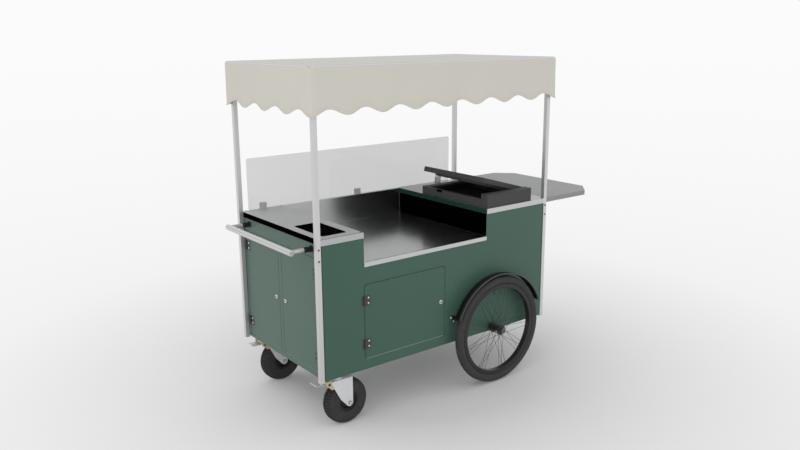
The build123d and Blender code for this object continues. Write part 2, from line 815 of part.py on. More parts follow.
with BuildPart() as fender_near:
    with BuildSketch(axle_plane(guard_start)):
        with BuildLine():
            outer_r = guard_r + guard_t
            crown_y = guard_off + guard_w / 2
            ThreePointArc((guard_r, -guard_off), (guard_r + guard_crown, -crown_y), (guard_r, -guard_edge))
            Line((guard_r, -guard_edge), (outer_r, -guard_edge))
            ThreePointArc((outer_r, -guard_edge), (outer_r + guard_crown, -crown_y), (outer_r, -guard_off))
            Line((outer_r, -guard_off), (guard_r, -guard_off))
        make_face()
    revolve(axis=guard_axis, revolution_arc=guard_arc)
    for angle, lean in guard_feet:
        tongue_start = min(angle - tongue_arc / 2, guard_start + guard_arc - tongue_arc)
        with BuildSketch(axle_plane(tongue_start)):
            with Locations((guard_r + guard_t / 2, -(guard_off + tongue_lap) / 2)):
                Rectangle(guard_t, guard_off + tongue_lap)
        revolve(axis=guard_axis, revolution_arc=tongue_arc)
    for x, z, turn in foot_places:
        with BuildSketch(Plane.XZ.offset(panel_y)):
            with Locations(Location((x, z, 0), turn)):
                SlotOverall(foot_len, foot_w)
        extrude(amount=foot_t)
    with BuildSketch(Plane.XZ.offset(panel_y)):
        with Locations(*foot_spots):
            Circle(bolt_r + seam)
    extrude(amount=foot_t, mode=Mode.SUBTRACT)

# Caster top plate with its king pin
bridge_z = under_h - plate_t - seam - race_h
with BuildPart() as caster_near_plate:
    with BuildSketch(Plane.XY.offset(under_h)):
        with Locations((swivel_x, swivel_y)):
            RectangleRounded(plate_l, plate_w, 2 * plate_hole_r)
            with GridLocations(plate_pitch_x, plate_pitch_y, 2, 2):
                Circle(plate_hole_r, mode=Mode.SUBTRACT)
    extrude(amount=-plate_t)
    king_low = bridge_z - bridge_t - seam - king_head_t
    with BuildSketch(Plane.XY.offset(king_low)):
        with Locations((swivel_x, swivel_y)):
            Circle(king_r)
    extrude(amount=under_h - plate_t - king_low)
    with BuildSketch(Plane.XY.offset(king_low)):
        with Locations((swivel_x, swivel_y)):
            Circle(king_head_r)
    extrude(amount=king_head_t)

# Caster fork: race housing, bridge and two tapered legs
roll_x = swivel_x + caster_trail
fork_top = bridge_z
fork_rear = caster_trail + fork_eye_r
with BuildPart() as caster_near_fork:
    block((swivel_x - fork_front, swivel_x + fork_rear),
          (swivel_y - fork_half - fork_t, swivel_y + fork_half + fork_t), (fork_top - bridge_t, fork_top))
    with BuildSketch(Plane.XY.offset(fork_top)):
        with Locations((swivel_x, swivel_y)):
            Circle(race_r)
    extrude(amount=race_h)
    fillet(caster_near_fork.faces().sort_by(Axis.Z)[-1].edges(), race_round)
    for side in (-1, 1):
        with BuildSketch(Plane.XZ.offset(-swivel_y + side * fork_half)):
            with BuildLine():
                Polyline(
                    (swivel_x - fork_front, fork_top), (swivel_x + fork_rear, fork_top),
                    (swivel_x + fork_rear, caster_r), (roll_x, caster_r),
                    (roll_x - 0.8 * fork_eye_r, caster_r - 0.6 * fork_eye_r),
                    (swivel_x + neck_x, under_h - neck_drop), (swivel_x - fork_front, fork_top - bridge_t),
                    close=True)
            make_face()
            with Locations((roll_x, caster_r)):
                Circle(fork_eye_r)
                Circle(axle_r + run_fit, mode=Mode.SUBTRACT)
        extrude(amount=side * fork_t)
    with BuildSketch(Plane.XY.offset(fork_top - bridge_t)):
        with Locations((swivel_x, swivel_y)):
            Circle(king_r + run_fit)
    extrude(amount=bridge_t + race_h, mode=Mode.SUBTRACT)

# Caster axle bolt with a head and a nut
with BuildPart() as caster_near_axle:
    bolt_half = fork_half + fork_t + seam
    with BuildSketch(Plane.XZ.offset(-swivel_y)):
        with Locations((roll_x, caster_r)):
            Circle(axle_r)
    extrude(amount=bolt_half + bolt_head_t, both=True)
    for side in (-1, 1):
        with BuildSketch(Plane.XZ.offset(-swivel_y + side * bolt_half)):
            with Locations((roll_x, caster_r)):
                RegularPolygon(bolt_head_r, 6)
        extrude(amount=side * bolt_head_t)

# Caster tyre and rim
roll_plane = Plane(origin=(roll_x, swivel_y, caster_r))
roll_axis = Axis((roll_x, swivel_y, caster_r), (0, 1, 0))
tyre_mid = (caster_bead_r + caster_r) / 2
with BuildPart() as caster_near_tyre:
    with BuildSketch(roll_plane):
        with Locations((tyre_mid, 0)):
            RectangleRounded(caster_deep, 2 * caster_half, caster_shoulder_r)
            RectangleRounded(caster_deep - 2 * caster_tyre_wall, 2 * (caster_half - caster_tyre_wall),
                             caster_lining_r, mode=Mode.SUBTRACT)
        with Locations((caster_bead_r, 0)):
            Rectangle(4 * caster_tyre_wall, caster_half / 2, mode=Mode.SUBTRACT)
    revolve(axis=roll_axis)
with BuildPart() as caster_near_rim:
    with BuildSketch(roll_plane):
        rim_out = caster_bead_r - seam
        with Locations((rim_out - caster_tyre_wall / 2, 0)):
            Rectangle(caster_tyre_wall, 2 * caster_rim_half)
        with Locations((rim_out / 2, 0)):
            Rectangle(rim_out - 2 * axle_r, 2 * caster_web_half)
        with Locations(((caster_hub_r + axle_r + run_fit) / 2, 0)):
            Rectangle(caster_hub_r - axle_r - run_fit, 2 * (fork_half - seam))
    revolve(axis=roll_axis)

# Brake bracket: two cheeks inside the fork legs, joined by a web ahead of the bridge
cheek_in = fork_half - seam - brake_t
brake_step = swivel_x - fork_front - seam
brake_cap = fork_top - bridge_t - seam
with BuildPart() as caster_near_bracket:
    for side in (-1, 1):
        with BuildSketch(Plane.XZ.offset(-swivel_y + side * cheek_in)):
            with BuildLine():
                Polyline(
                    (swivel_x - brake_front, brake_top), (brake_step, brake_top), (brake_step, brake_cap),
                    (swivel_x - brake_rear, brake_cap), (swivel_x - brake_rear, brake_low),
                    (swivel_x - brake_nose, brake_low), (swivel_x - brake_front, pedal_z - pedal_pin_r),
                    close=True)
            make_face()
            with Locations((swivel_x + pedal_x, pedal_z)):
                Circle(pedal_pin_r + run_fit, mode=Mode.SUBTRACT)
        extrude(amount=side * brake_t)
    block((swivel_x - brake_front, brake_step),
          (swivel_y - cheek_in - brake_t, swivel_y + cheek_in + brake_t), (brake_top - brake_t, brake_top))

# Brake pedal: bent plate on a cross tube with pivot pins
with BuildPart() as caster_near_pedal:
    with BuildSketch(Plane.XZ.offset(-swivel_y)):
        with BuildLine():
            Polyline((swivel_x + pedal_x, pedal_z), (swivel_x + pedal_bend_x, under_h - pedal_bend_drop),
                     (swivel_x + pedal_tip_x, under_h - pedal_tip_drop))
        trace(line_width=pedal_t)
    extrude(amount=pedal_w / 2, both=True)
    with BuildSketch(Plane.XZ.offset(-swivel_y)):
        with Locations((swivel_x + pedal_x, pedal_z)):
            Circle(pedal_tube_r)
    extrude(amount=cheek_in - seam, both=True)
    with BuildSketch(Plane.XZ.offset(-swivel_y)):
        with Locations((swivel_x + pedal_x, pedal_z)):
            Circle(pedal_pin_r)
    extrude(amount=cheek_in + brake_t + seam, both=True)

# Lidded box: a near cheek, a low far ledge with a hinge ear, low front and back walls, bored for the lid pins
box_x0 = well_x1 + box_in
box_x1 = box_x0 + box_len
box_y0 = near_face + box_near_in
box_y1 = box_y0 + box_wid
box_top = counter_h + box_h
lid_x = box_x1 - box_wall + lid_back / 4
lid_z = box_top - lid_t / 2
wall_top = box_top - lid_t - seam
with BuildPart() as box_body:
    block((box_x0, box_x1), (box_y0, box_y1), (counter_h, box_top))
    fillet(box_body.edges().filter_by(Axis.Z), box_round)
    block((box_x0 + box_wall, box_x1 - box_wall), (box_y0 + cheek_w, box_y1 - cheek_w),
          (counter_h + box_base, box_top), mode=Mode.SUBTRACT)
    block((box_x0, box_x0 + box_wall), (box_y0 + cheek_w, box_y1 - cheek_w), (wall_top, box_top),
          mode=Mode.SUBTRACT)
    block((box_x0, lid_x - ear_len), (box_y1 - cheek_w, box_y1), (wall_top, box_top), mode=Mode.SUBTRACT)
    block((box_x1 - box_wall, box_x1), (box_y0 + cheek_w, box_y1 - cheek_w), (wall_top - lid_t / 4, box_top),
          mode=Mode.SUBTRACT)
    with BuildSketch(Plane.XZ.offset(-box_y0 - cheek_w)):
        with Locations((lid_x, lid_z)):
            Circle(lid_pin_r + run_fit)
    extrude(amount=lid_pin_len + seam, mode=Mode.SUBTRACT)
    with BuildSketch(Plane.XZ.offset(-box_y1 + cheek_w)):
        with Locations((lid_x, lid_z)):
            Circle(lid_pin_r + run_fit)
    extrude(amount=-lid_pin_len - seam, mode=Mode.SUBTRACT)

# Lid, notched for the ear, drawn about its pin line and standing part open
lid_plane = Plane(origin=(lid_x, (box_y0 + box_y1) / 2, lid_z)).rotated((0, lid_open, 0))
lid_half = box_wid / 2 - cheek_w - lid_side_gap
lid_front = box_x0 - lid_x + lid_side_gap
with BuildPart(lid_plane) as box_lid:
    block((lid_front, lid_back), (-lid_half, box_wid / 2), (-lid_t / 2, lid_t / 2))
    fillet(box_lid.edges(), lid_edge_r)
    block((-ear_len - ear_gap, lid_back), (lid_half, box_wid / 2), (-lid_t / 2, lid_t / 2),
          mode=Mode.SUBTRACT)
    block((lid_front + lid_plug_in, -lid_plug_in), (lid_plug_in - lid_half, lid_half - lid_plug_in),
          (-lid_t / 2 - lid_plug, 0))
    block((lid_front + lid_plug_in + lid_skin, -lid_plug_in - lid_skin),
          (lid_plug_in + lid_skin - lid_half, lid_half - lid_plug_in - lid_skin),
          (-lid_t / 2 - lid_plug, lid_t / 2 - lid_skin), mode=Mode.SUBTRACT)
    with BuildSketch(Plane(lid_plane.origin, x_dir=lid_plane.x_dir, z_dir=(0, -1, 0))):
        Circle(lid_pin_r)
    extrude(amount=lid_half + lid_side_gap + lid_pin_len, both=True)

# Side shelf: cut corners, folded skirt, hinge flange with knuckles and a stay for the brace
shelf_x0 = right_face + shelf_gap
shelf_x1 = right_face + shelf_out
axis_x = right_face + shelf_axis_out
axis_z = skirt_z - shelf_axis_drop
stay_x = axis_x + brace_a
third = shelf_hinge_w / 3
with BuildPart() as side_shelf:
    with BuildSketch(Plane.XY.offset(skirt_z)):
        with BuildLine():
            Polyline(
                (shelf_x0, -shelf_wid / 2), (shelf_x1 - shelf_cut, -shelf_wid / 2),
                (shelf_x1, shelf_cut - shelf_wid / 2), (shelf_x1, shelf_wid / 2 - shelf_cut),
                (shelf_x1 - shelf_cut, shelf_wid / 2), (shelf_x0, shelf_wid / 2), close=True)
        make_face()
    extrude(amount=skirt_h)
    offset(amount=-top_t, openings=side_shelf.faces().sort_by(Axis.Z)[0], kind=Kind.INTERSECTION)
    block((shelf_x0, shelf_x0 + shelf_flange), (top_t - shelf_wid / 2, shelf_wid / 2 - top_t),
          (skirt_z, skirt_z + top_t))
    stay = (brace_y, skirt_z, counter_h - top_t)
    block((stay_x - stay_w / 2, stay_x + stay_w / 2), (-stay[0], stay[0]), (stay[1], stay[2]))
    block((stay_x - stay_w / 2 + stay_wall, stay_x + stay_w / 2 - stay_wall), (-stay[0], stay[0]),
          (stay[1] + stay_wall, stay[2]), mode=Mode.SUBTRACT)
    for y in shelf_hinge_y:
        block((axis_x - shelf_knuckle_r / 2, axis_x + shelf_knuckle_r),
              (y - third / 2 + seam, y + third / 2 - seam), (axis_z, skirt_z))
        with BuildSketch(Plane.XZ.offset(-y - third / 2 + seam)):
            with Locations((axis_x, axis_z)):
                Circle(shelf_knuckle_r)
        extrude(amount=third - 2 * seam)
        with BuildSketch(Plane.XZ.offset(-y - third / 2)):
            with Locations((axis_x, axis_z)):
                Circle(shelf_pin_r + run_fit)
        extrude(amount=third, mode=Mode.SUBTRACT)

# Fixed shelf hinge leaves with pins, and the brace lugs
brace_z = axis_z - brace_a
with BuildPart() as shelf_end_mounts:
    for y in shelf_hinge_y:
        block((shelf_panel_x, shelf_panel_x + shelf_leaf_t), (y - shelf_hinge_w / 2, y + shelf_hinge_w / 2),
              (axis_z - shelf_leaf_h, axis_z))
        with BuildSketch(Plane.XZ.offset(-y - shelf_hinge_w / 2)):
            with Locations((axis_x, axis_z)):
                Circle(shelf_pin_r)
        extrude(amount=shelf_hinge_w)
        for low in (y - shelf_hinge_w / 2, y + third / 2):
            block((shelf_panel_x, axis_x), (low, low + third), (axis_z - shelf_knuckle_r, axis_z))
            with BuildSketch(Plane.XZ.offset(-low)):
                with Locations((axis_x, axis_z)):
                    Circle(shelf_knuckle_r)
            extrude(amount=-third)
    for side in (-1, 1):
        lug_y = side * (brace_y + brace_bend_r + lug_w / 2 + seam)
        block((shelf_panel_x, axis_x + lug_h / 2), (lug_y - lug_w / 2, lug_y + lug_w / 2),
              (brace_z - lug_h / 2, brace_z + lug_h / 2))
    with BuildSketch(Plane.XZ):
        with Locations((axis_x, brace_z)):
            Circle(brace_r + run_fit)
    extrude(amount=shelf_wid / 2, both=True, mode=Mode.SUBTRACT)

# Shelf brace: a bent rod that swings out under the stay
brace_tip = (stay_x, skirt_z - brace_r - seam)
with BuildPart() as shelf_brace:
    with BuildLine() as rod:
        FilletPolyline(
            (axis_x, -brace_y - brace_pin_len, brace_z), (axis_x, -brace_y, brace_z),
            (brace_tip[0], -brace_y, brace_tip[1]), (brace_tip[0], brace_y, brace_tip[1]),
            (axis_x, brace_y, brace_z), (axis_x, brace_y + brace_pin_len, brace_z), radius=brace_bend_r)
    with BuildSketch(Plane(origin=rod.line @ 0, z_dir=rod.line % 0)):
        Circle(brace_r)
    sweep(path=rod.line)

# Bolts of the posts, the mudguards and the caster plates
with BuildPart() as fasteners:
    for side in (-1, 1):
        post_plane = Plane.XZ.offset(side * far_face)
        foot_plane = Plane.XZ.offset(side * (panel_y + foot_t))
        post_spots = [(x + post_side / 2, counter_h - drop) for x, drop in bolt_spots]
        for plane, spots in ((post_plane, post_spots), (foot_plane, foot_spots)):
            with BuildSketch(plane):
                with Locations(*spots):
                    Circle(bolt_head_flat)
            extrude(amount=side * bolt_head_h)
            with BuildSketch(plane):
                with Locations(*spots):
                    Circle(bolt_r)
            extrude(amount=-side * bolt_len)
        with BuildSketch(Plane.XY.offset(under_h - plate_t)):
            with Locations((swivel_x, side * swivel_y)):
                with GridLocations(plate_pitch_x, plate_pitch_y, 2, 2):
                    RegularPolygon(2 * bolt_r, 6)
        extrude(amount=-2 * bolt_head_h)
        with BuildSketch(Plane.XY.offset(under_h - plate_t)):
            with Locations((swivel_x, side * swivel_y)):
                with GridLocations(plate_pitch_x, plate_pitch_y, 2, 2):
                    Circle(plate_hole_r - seam)
        extrude(amount=plate_t + cross_side)

# Far-side copies of the wheel, the mudguard, the axle and the caster
wheel_far_tyre = far_copy(wheel_near_tyre)
wheel_far_rim = far_copy(wheel_near_rim)
wheel_far_hub = far_copy(wheel_near_hub)
wheel_far_spokes = far_copy(wheel_near_spokes)
axle_far = far_copy(axle_near)
fender_far = far_copy(fender_near)
caster_far_plate = far_copy(caster_near_plate)
caster_far_fork = far_copy(caster_near_fork)
caster_far_axle = far_copy(caster_near_axle)
caster_far_tyre = far_copy(caster_near_tyre)
caster_far_rim = far_copy(caster_near_rim)
caster_far_bracket = far_copy(caster_near_bracket)
caster_far_pedal = far_copy(caster_near_pedal)

# Export each piece under its own name
pieces = {
    "corner_posts": corner_posts, "fasteners": fasteners, "base_long_rails": base_long_rails,
    "base_cross_rails": base_cross_rails, "cabinet_floor": cabinet_floor, "near_panel": near_panel,
    "far_panel": far_panel, "handle_end_frame": handle_end_frame, "shelf_end_panel": shelf_end_panel,
    "left_worktop": left_worktop, "well_liner": well_liner, "right_worktop": right_worktop,
    "glass_guard": glass_guard, "glass_clips": glass_clips, "push_handle": push_handle,
    "handle_sockets": handle_sockets, "canopy_frame": canopy_frame, "canopy_cover": canopy_cover,
    "fender_near": fender_near, "fender_far": fender_far, "axle_near": axle_near, "axle_far": axle_far,
    "axle_nuts": axle_nuts, "hinge_frame_leaves": hinge_frame_leaves, "shelf_end_mounts": shelf_end_mounts,
    "near_door": near_door, "near_door_leaves": near_door_leaves, "near_door_lock": near_door_lock,
    "end_door_near": end_door_near, "end_door_near_leaves": end_door_near_leaves,
    "end_door_near_lock": end_door_near_lock, "end_door_far": end_door_far,
    "end_door_far_leaves": end_door_far_leaves, "end_door_far_lock": end_door_far_lock,
    "wheel_near_tyre": wheel_near_tyre, "wheel_near_rim": wheel_near_rim, "wheel_near_hub": wheel_near_hub,
    "wheel_near_spokes": wheel_near_spokes, "wheel_far_tyre": wheel_far_tyre, "wheel_far_rim": wheel_far_rim,
    "wheel_far_hub": wheel_far_hub, "wheel_far_spokes": wheel_far_spokes,
    "caster_near_plate": caster_near_plate, "caster_near_fork": caster_near_fork,
    "caster_near_axle": caster_near_axle, "caster_near_tyre": caster_near_tyre,
    "caster_near_rim": caster_near_rim, "caster_near_bracket": caster_near_bracket,
    "caster_near_pedal": caster_near_pedal, "caster_far_plate": caster_far_plate,
    "caster_far_fork": caster_far_fork, "caster_far_axle": caster_far_axle,
    "caster_far_tyre": caster_far_tyre, "caster_far_rim": caster_far_rim,
    "caster_far_bracket": caster_far_bracket, "caster_far_pedal": caster_far_pedal,
    "box_body": box_body, "box_lid": box_lid,
    "side_shelf": side_shelf, "shelf_brace": shelf_brace}
os.makedirs("parts", exist_ok=True)
for name, piece in pieces.items():
    piece.part.label = name
    export_step(piece.part, f"parts/{name}.step")
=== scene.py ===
from math import copysign, cos, degrees, hypot, pi, radians, sin, tau

import bpy
from mathutils import Matrix, Vector


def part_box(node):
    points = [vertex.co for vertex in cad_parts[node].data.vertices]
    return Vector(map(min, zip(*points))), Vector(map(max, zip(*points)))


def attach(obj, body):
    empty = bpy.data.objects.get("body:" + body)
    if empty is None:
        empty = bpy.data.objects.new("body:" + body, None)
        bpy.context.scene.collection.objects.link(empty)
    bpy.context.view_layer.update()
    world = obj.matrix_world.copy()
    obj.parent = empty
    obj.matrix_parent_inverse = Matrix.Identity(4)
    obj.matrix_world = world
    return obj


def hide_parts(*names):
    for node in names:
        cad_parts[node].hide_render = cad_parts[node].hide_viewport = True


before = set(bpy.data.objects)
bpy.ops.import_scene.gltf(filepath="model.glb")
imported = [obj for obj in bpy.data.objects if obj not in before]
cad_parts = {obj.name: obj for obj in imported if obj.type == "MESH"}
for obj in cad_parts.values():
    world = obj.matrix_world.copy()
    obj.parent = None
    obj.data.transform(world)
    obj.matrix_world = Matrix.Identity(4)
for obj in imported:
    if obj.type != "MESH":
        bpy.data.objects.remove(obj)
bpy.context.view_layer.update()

bl_info = {
    "name": "Street Vending Cart",
    "version": (1, 0, 0),
    "blender": (4, 5, 0),
    "location": "3D View > Sidebar > Cart",
    "description": "Dresses the packed cart with its cloth, tyres, fittings and finishes",
    "category": "Object",
}

MM = 0.001

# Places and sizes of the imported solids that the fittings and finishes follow, in metres
POST_SIDE = 0.025
GRIP_RADIUS = 0.016
SOCKET_Y = 0.342
PAN_X, PAN_Y = (-0.9528, -0.7972), (-0.3703, -0.0797)
ROOF_TUBE_X = 0.29
SHELF_HINGE_Y, SHELF_HINGE_Z = (-0.33, 0.0, 0.33), 1.016
# For each door, the axis along its width, the plane of its hinge leaves and that of its own face
DOORS = {
    "near_door": (0, -0.4365, -0.4345),
    "end_door_near": (1, -1.0032, -1.0012),
    "end_door_far": (1, -1.0032, -1.0012),
}

# A surface looks along an axis where its normal has this much of it
HEAD_ON = 0.7
# Colours of the painted shade in gaps and of the painted highlight on lit door sills
JOINT_SHADE = (0.0, 0.04, 0.022, 1)
SILL_HIGHLIGHT = (0.38, 0.46, 0.42, 1)


# Shader values

def shade_math(operation, swapped=False):
    """An operator of Shade, which adds one Math node."""
    def apply(self, other=0.0):
        first, second = (other, self) if swapped else (self, other)
        return self.owner.node("ShaderNodeMath", {"operation": operation}, {0: first, 1: second})
    return apply


class Shade:
    """A value running through a material or the world; arithmetic on it adds Math nodes."""

    def __init__(self, owner, socket):
        self.owner = owner
        self.socket = socket

    __add__, __radd__ = shade_math("ADD"), shade_math("ADD", True)
    __sub__, __rsub__ = shade_math("SUBTRACT"), shade_math("SUBTRACT", True)
    __mul__, __rmul__ = shade_math("MULTIPLY"), shade_math("MULTIPLY", True)
    __truediv__, __rtruediv__ = shade_math("DIVIDE"), shade_math("DIVIDE", True)
    __pow__, __mod__ = shade_math("POWER"), shade_math("FLOORED_MODULO")
    __gt__, __lt__ = shade_math("GREATER_THAN"), shade_math("LESS_THAN")
    __abs__, sine = shade_math("ABSOLUTE"), shade_math("SINE")
    at_least = shade_math("MAXIMUM")

    def between(self, low, high):
        return (self > low) * (self < high)

    def limited(self):
        return self.owner.node("ShaderNodeClamp", {}, {"Value": self})


class NodeTree:
    """The nodes of a material or of the world."""

    def __init__(self, tree):
        self.tree = tree

    def node(self, kind, settings=None, sockets=None, out=0):
        made = self.tree.nodes.new(kind)
        for key, value in (settings or {}).items():
            setattr(made, key, value)
        for key, value in (sockets or {}).items():
            self.feed(made.inputs[key], value)
        return Shade(self, made.outputs[out])

    def feed(self, socket, value):
        if isinstance(value, Shade):
            self.tree.links.new(value.socket, socket)
        else:
            socket.default_value = value

    def seen(self):
        """One where the eye, a reflection or glass looks, and nought for light on the cart."""
        path = ("Is Camera Ray", "Is Glossy Ray", "Is Transmission Ray")
        camera, mirror, through = (self.node("ShaderNodeLightPath", out=name) for name in path)
        return (camera + mirror + through).limited()


class Finish(NodeTree):
    """One procedural material built round a Principled shader."""

    def __init__(self, name, **sockets):
        self.material = bpy.data.materials.new(name)
        self.material.use_nodes = True
        super().__init__(self.material.node_tree)
        self.shader = self.tree.nodes["Principled BSDF"]
        for key, value in sockets.items():
            self.set(key.replace("_", " ").title().replace("Ior", "IOR"), value)

    def set(self, socket, value):
        self.feed(self.shader.inputs[socket], value)

    def surface(self, colour, rough, relief, depth, strength, normal=None):
        """Feed the colour, the roughness and a fine relief of some depth in metres."""
        self.set("Base Color", colour)
        self.set("Roughness", rough)
        sockets = {"Height": relief, "Distance": depth, "Strength": strength}
        if normal is not None:
            sockets["Normal"] = normal
        self.set("Normal", self.node("ShaderNodeBump", {}, sockets))
        return self

    def on(self, *names):
        """Give the named CAD pieces this finish."""
        for name in names:
            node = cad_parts[name]
            if not node.material_slots:
                node.data.materials.append(self.material)
            for slot in node.material_slots:
                slot.material = self.material
        return self

    def coordinate(self, out):
        return self.node("ShaderNodeTexCoord", out=out)

    def axes(self, vector):
        split = self.node("ShaderNodeSeparateXYZ", {}, {0: vector}).socket.node
        return [Shade(self, output) for output in split.outputs]

    def place(self):
        """X, Y and Z in the frame of the cart."""
        return self.axes(self.coordinate("Object"))

    def facing(self):
        """X, Y and Z of the way that the surface looks."""
        return self.axes(self.coordinate("Normal"))

    def attribute(self, name):
        return self.node("ShaderNodeAttribute", {"attribute_name": name}, out=2)

    def grain(self, scale, detail=3.0, stretch=(1, 1, 1)):
        """Noise over the surface, drawn out along an axis whose stretch is small."""
        spread = self.node("ShaderNodeMapping", {},
                           {"Vector": self.coordinate("Object"), "Scale": stretch})
        sockets = {"Vector": spread, "Scale": scale, "Detail": detail, "Roughness": 0.55}
        return self.node("ShaderNodeTexNoise", {}, sockets)

    def cells(self, scale, feature, out):
        sockets = {"Vector": self.coordinate("Object"), "Scale": scale}
        return self.node("ShaderNodeTexVoronoi", {"feature": feature}, sockets, out)

    def cell_greys(self, scale):
        """A grey of its own for each small cell."""
        return self.node("ShaderNodeRGBToBW", {}, {0: self.cells(scale, "F1", "Color")})

    def blend(self, factor, first, second):
        sockets = {0: factor, 6: first, 7: second}
        return self.node("ShaderNodeMix", {"data_type": "RGBA"}, sockets, 2)

    def tones(self, colour, factor, spread):
        return self.blend(factor, tone(colour, 1 - spread), tone(colour, 1 + spread))

    def edge(self, radius):
        """A normal rounded at the edges, and how much it is rounded."""
        soft = self.node("ShaderNodeBevel", {"samples": 4}, {"Radius": radius})
        hard = self.node("ShaderNodeNewGeometry", out="Normal")
        align = self.node("ShaderNodeVectorMath", {"operation": "DOT_PRODUCT"},
                          {0: soft, 1: hard}, "Value")
        return soft, ((1 - align) * 6).limited()


def tone(colour, factor):
    return tuple(min(1.0, c * factor) for c in colour[:3]) + (1.0,)


# Mesh helpers

def grid_faces(rows, columns, wrap_rows=False, wrap_columns=True):
    faces = []
    for r in range(rows if wrap_rows else rows - 1):
        for c in range(columns if wrap_columns else columns - 1):
            r2, c2 = (r + 1) % rows, (c + 1) % columns
            faces.append((r * columns + c, r * columns + c2, r2 * columns + c2, r2 * columns + c))
    return faces


def add_piece(name, verts, faces, body, finish, slot, sharp=40.0):
    """Make one mesh piece in the frame of the cart, riding on a CAD body."""
    mesh = bpy.data.meshes.new(name)
    mesh.from_pydata([tuple(v) for v in verts], [], faces)
    mesh.validate()
    mesh.shade_smooth()
    mesh.set_sharp_from_angle(angle=radians(sharp))
    mesh.materials.append(finish.material)
    piece = bpy.data.objects.new(name, mesh)
    bpy.context.scene.collection.objects.link(piece)
    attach(piece, body)
    return piece


def many(shape, frames):
    """Copies of one shape at several frames, as one mesh."""
    verts, faces = [], []
    for place in frames:
        start = len(verts)
        verts += [place @ v for v in shape[0]]
        faces += [tuple(start + i for i in face) for face in shape[1]]
    return verts, faces


def add_copies(name, shape, spots, body, finish, slot):
    """Make one piece of like fittings, each standing on a place and pointing outward."""
    frames = []
    for place, outward in spots:
        turn = Vector(outward).to_track_quat("Z", "Y").to_matrix().to_4x4()
        frames.append(Matrix.Translation(Vector(place)) @ turn)
    add_piece(name, *many(shape, frames), body, finish, slot)


def both_ends(low, high, x, z):
    """Spots on the near and the far end of a box."""
    return [((x, low.y, z), (0, -1, 0)), ((x, high.y, z), (0, 1, 0))]


def write_values(piece, name, values):
    """Keep one number for each point of a piece, for its finish to read."""
    piece.data.attributes.new(name, "FLOAT", "POINT").data.foreach_set("value", values)


def circle(steps):
    return [tau * i / steps for i in range(steps)]


def wheel_point(radius, turn, y=0.0):
    """A point round the axle of a wheel."""
    return Vector((radius * cos(turn), y, radius * sin(turn)))


def tyre_size(name):
    """Centre, outer radius and half width of a CAD tyre."""
    low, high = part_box(name + "_tyre")
    return (low + high) / 2, (high.z - low.z) / 2, (high.y - low.y) / 2


def turned(profile, steps=28):
    """A profile of (radius, height) points in millimetres, turned round Z."""
    verts = [Vector((radius * MM * cos(a), radius * MM * sin(a), height * MM))
             for radius, height in profile for a in circle(steps)]
    return verts, grid_faces(len(profile), steps)


def button_head(radius, height, steps=24):
    """A domed screw head with a six-sided socket, in millimetres."""
    rings = [(1.0, 0.0), (1.0, 0.3), (0.93, 0.62), (0.76, 0.9), (0.58, 1.0)]
    verts = turned([(radius * r, height * h) for r, h in rings], steps)[0]
    sixth, floor = pi / 3, 0.35
    for share in (1.0, floor):
        for a in circle(steps):
            r = 0.46 * radius * MM * cos(sixth / 2) / cos(a % sixth - sixth / 2)
            verts.append(Vector((r * cos(a), r * sin(a), height * MM * share)))
    verts.append(Vector((0, 0, height * MM * floor)))
    faces = grid_faces(len(rings) + 2, steps)
    last = (len(rings) + 1) * steps
    faces += [(last + i, last + (i + 1) % steps, len(verts) - 1) for i in range(steps)]
    return verts, faces


def swept(path, radius, steps=8, closed=True):
    """A round cord along a path of points, as a loop or with flat ends."""
    verts = []
    count = len(path)
    for i, point in enumerate(path):
        ahead = path[(i + 1) % count] if closed or i < count - 1 else point
        behind = path[i - 1] if closed or i > 0 else point
        along = (ahead - behind).normalized()
        side = along.cross(Vector((0, 0, 1))).normalized()
        up = side.cross(along)
        verts += [point + radius * (cos(a) * side + sin(a) * up) for a in circle(steps)]
    faces = grid_faces(count, steps, wrap_rows=closed)
    if not closed:
        faces += [tuple(range(steps - 1, -1, -1)), tuple(range((count - 1) * steps, count * steps))]
    return verts, faces


def boxed(low, high, bevel):
    """A block with chamfered edges between two corners."""
    low, high = Vector(low), Vector(high)
    verts = []
    for z, inset in ((low.z, bevel), (low.z + bevel, 0), (high.z - bevel, 0), (high.z, bevel)):
        x0, x1, y0, y1 = low.x + inset, high.x - inset, low.y + inset, high.y - inset
        verts += [Vector(p) for p in (
            (x0 + bevel, y0, z), (x1 - bevel, y0, z), (x1, y0 + bevel, z), (x1, y1 - bevel, z),
            (x1 - bevel, y1, z), (x0 + bevel, y1, z), (x0, y1 - bevel, z), (x0, y0 + bevel, z))]
    faces = grid_faces(4, 8)
    faces += [tuple(range(7, -1, -1)), tuple(range(24, 32))]
    return verts, faces


# Finishes

def aluminium_finish(metal, name="aluminium", along=(1, 1, 0.02), seam=None):
    """Brushed tube with a painted highlight on its rounded edges, and the line of its seam where
    this is given.
    """
    f = Finish(name, metallic=0.75)
    streak = f.grain(60, 4, along)
    soft, edge = f.edge(0.0015)
    colour = f.tones(metal.aluminium, streak, 0.06)
    # Painted highlight: the rounded edges are lightened.
    colour = f.blend(edge * 0.5, colour, tone(metal.aluminium, 1.25))
    if seam is not None:
        colour = f.blend(seam(f) * 0.8, colour, tone(metal.aluminium, 0.45))
    return f.surface(colour, 0.36 + streak * 0.14, streak, 0.0002, 0.25, soft)


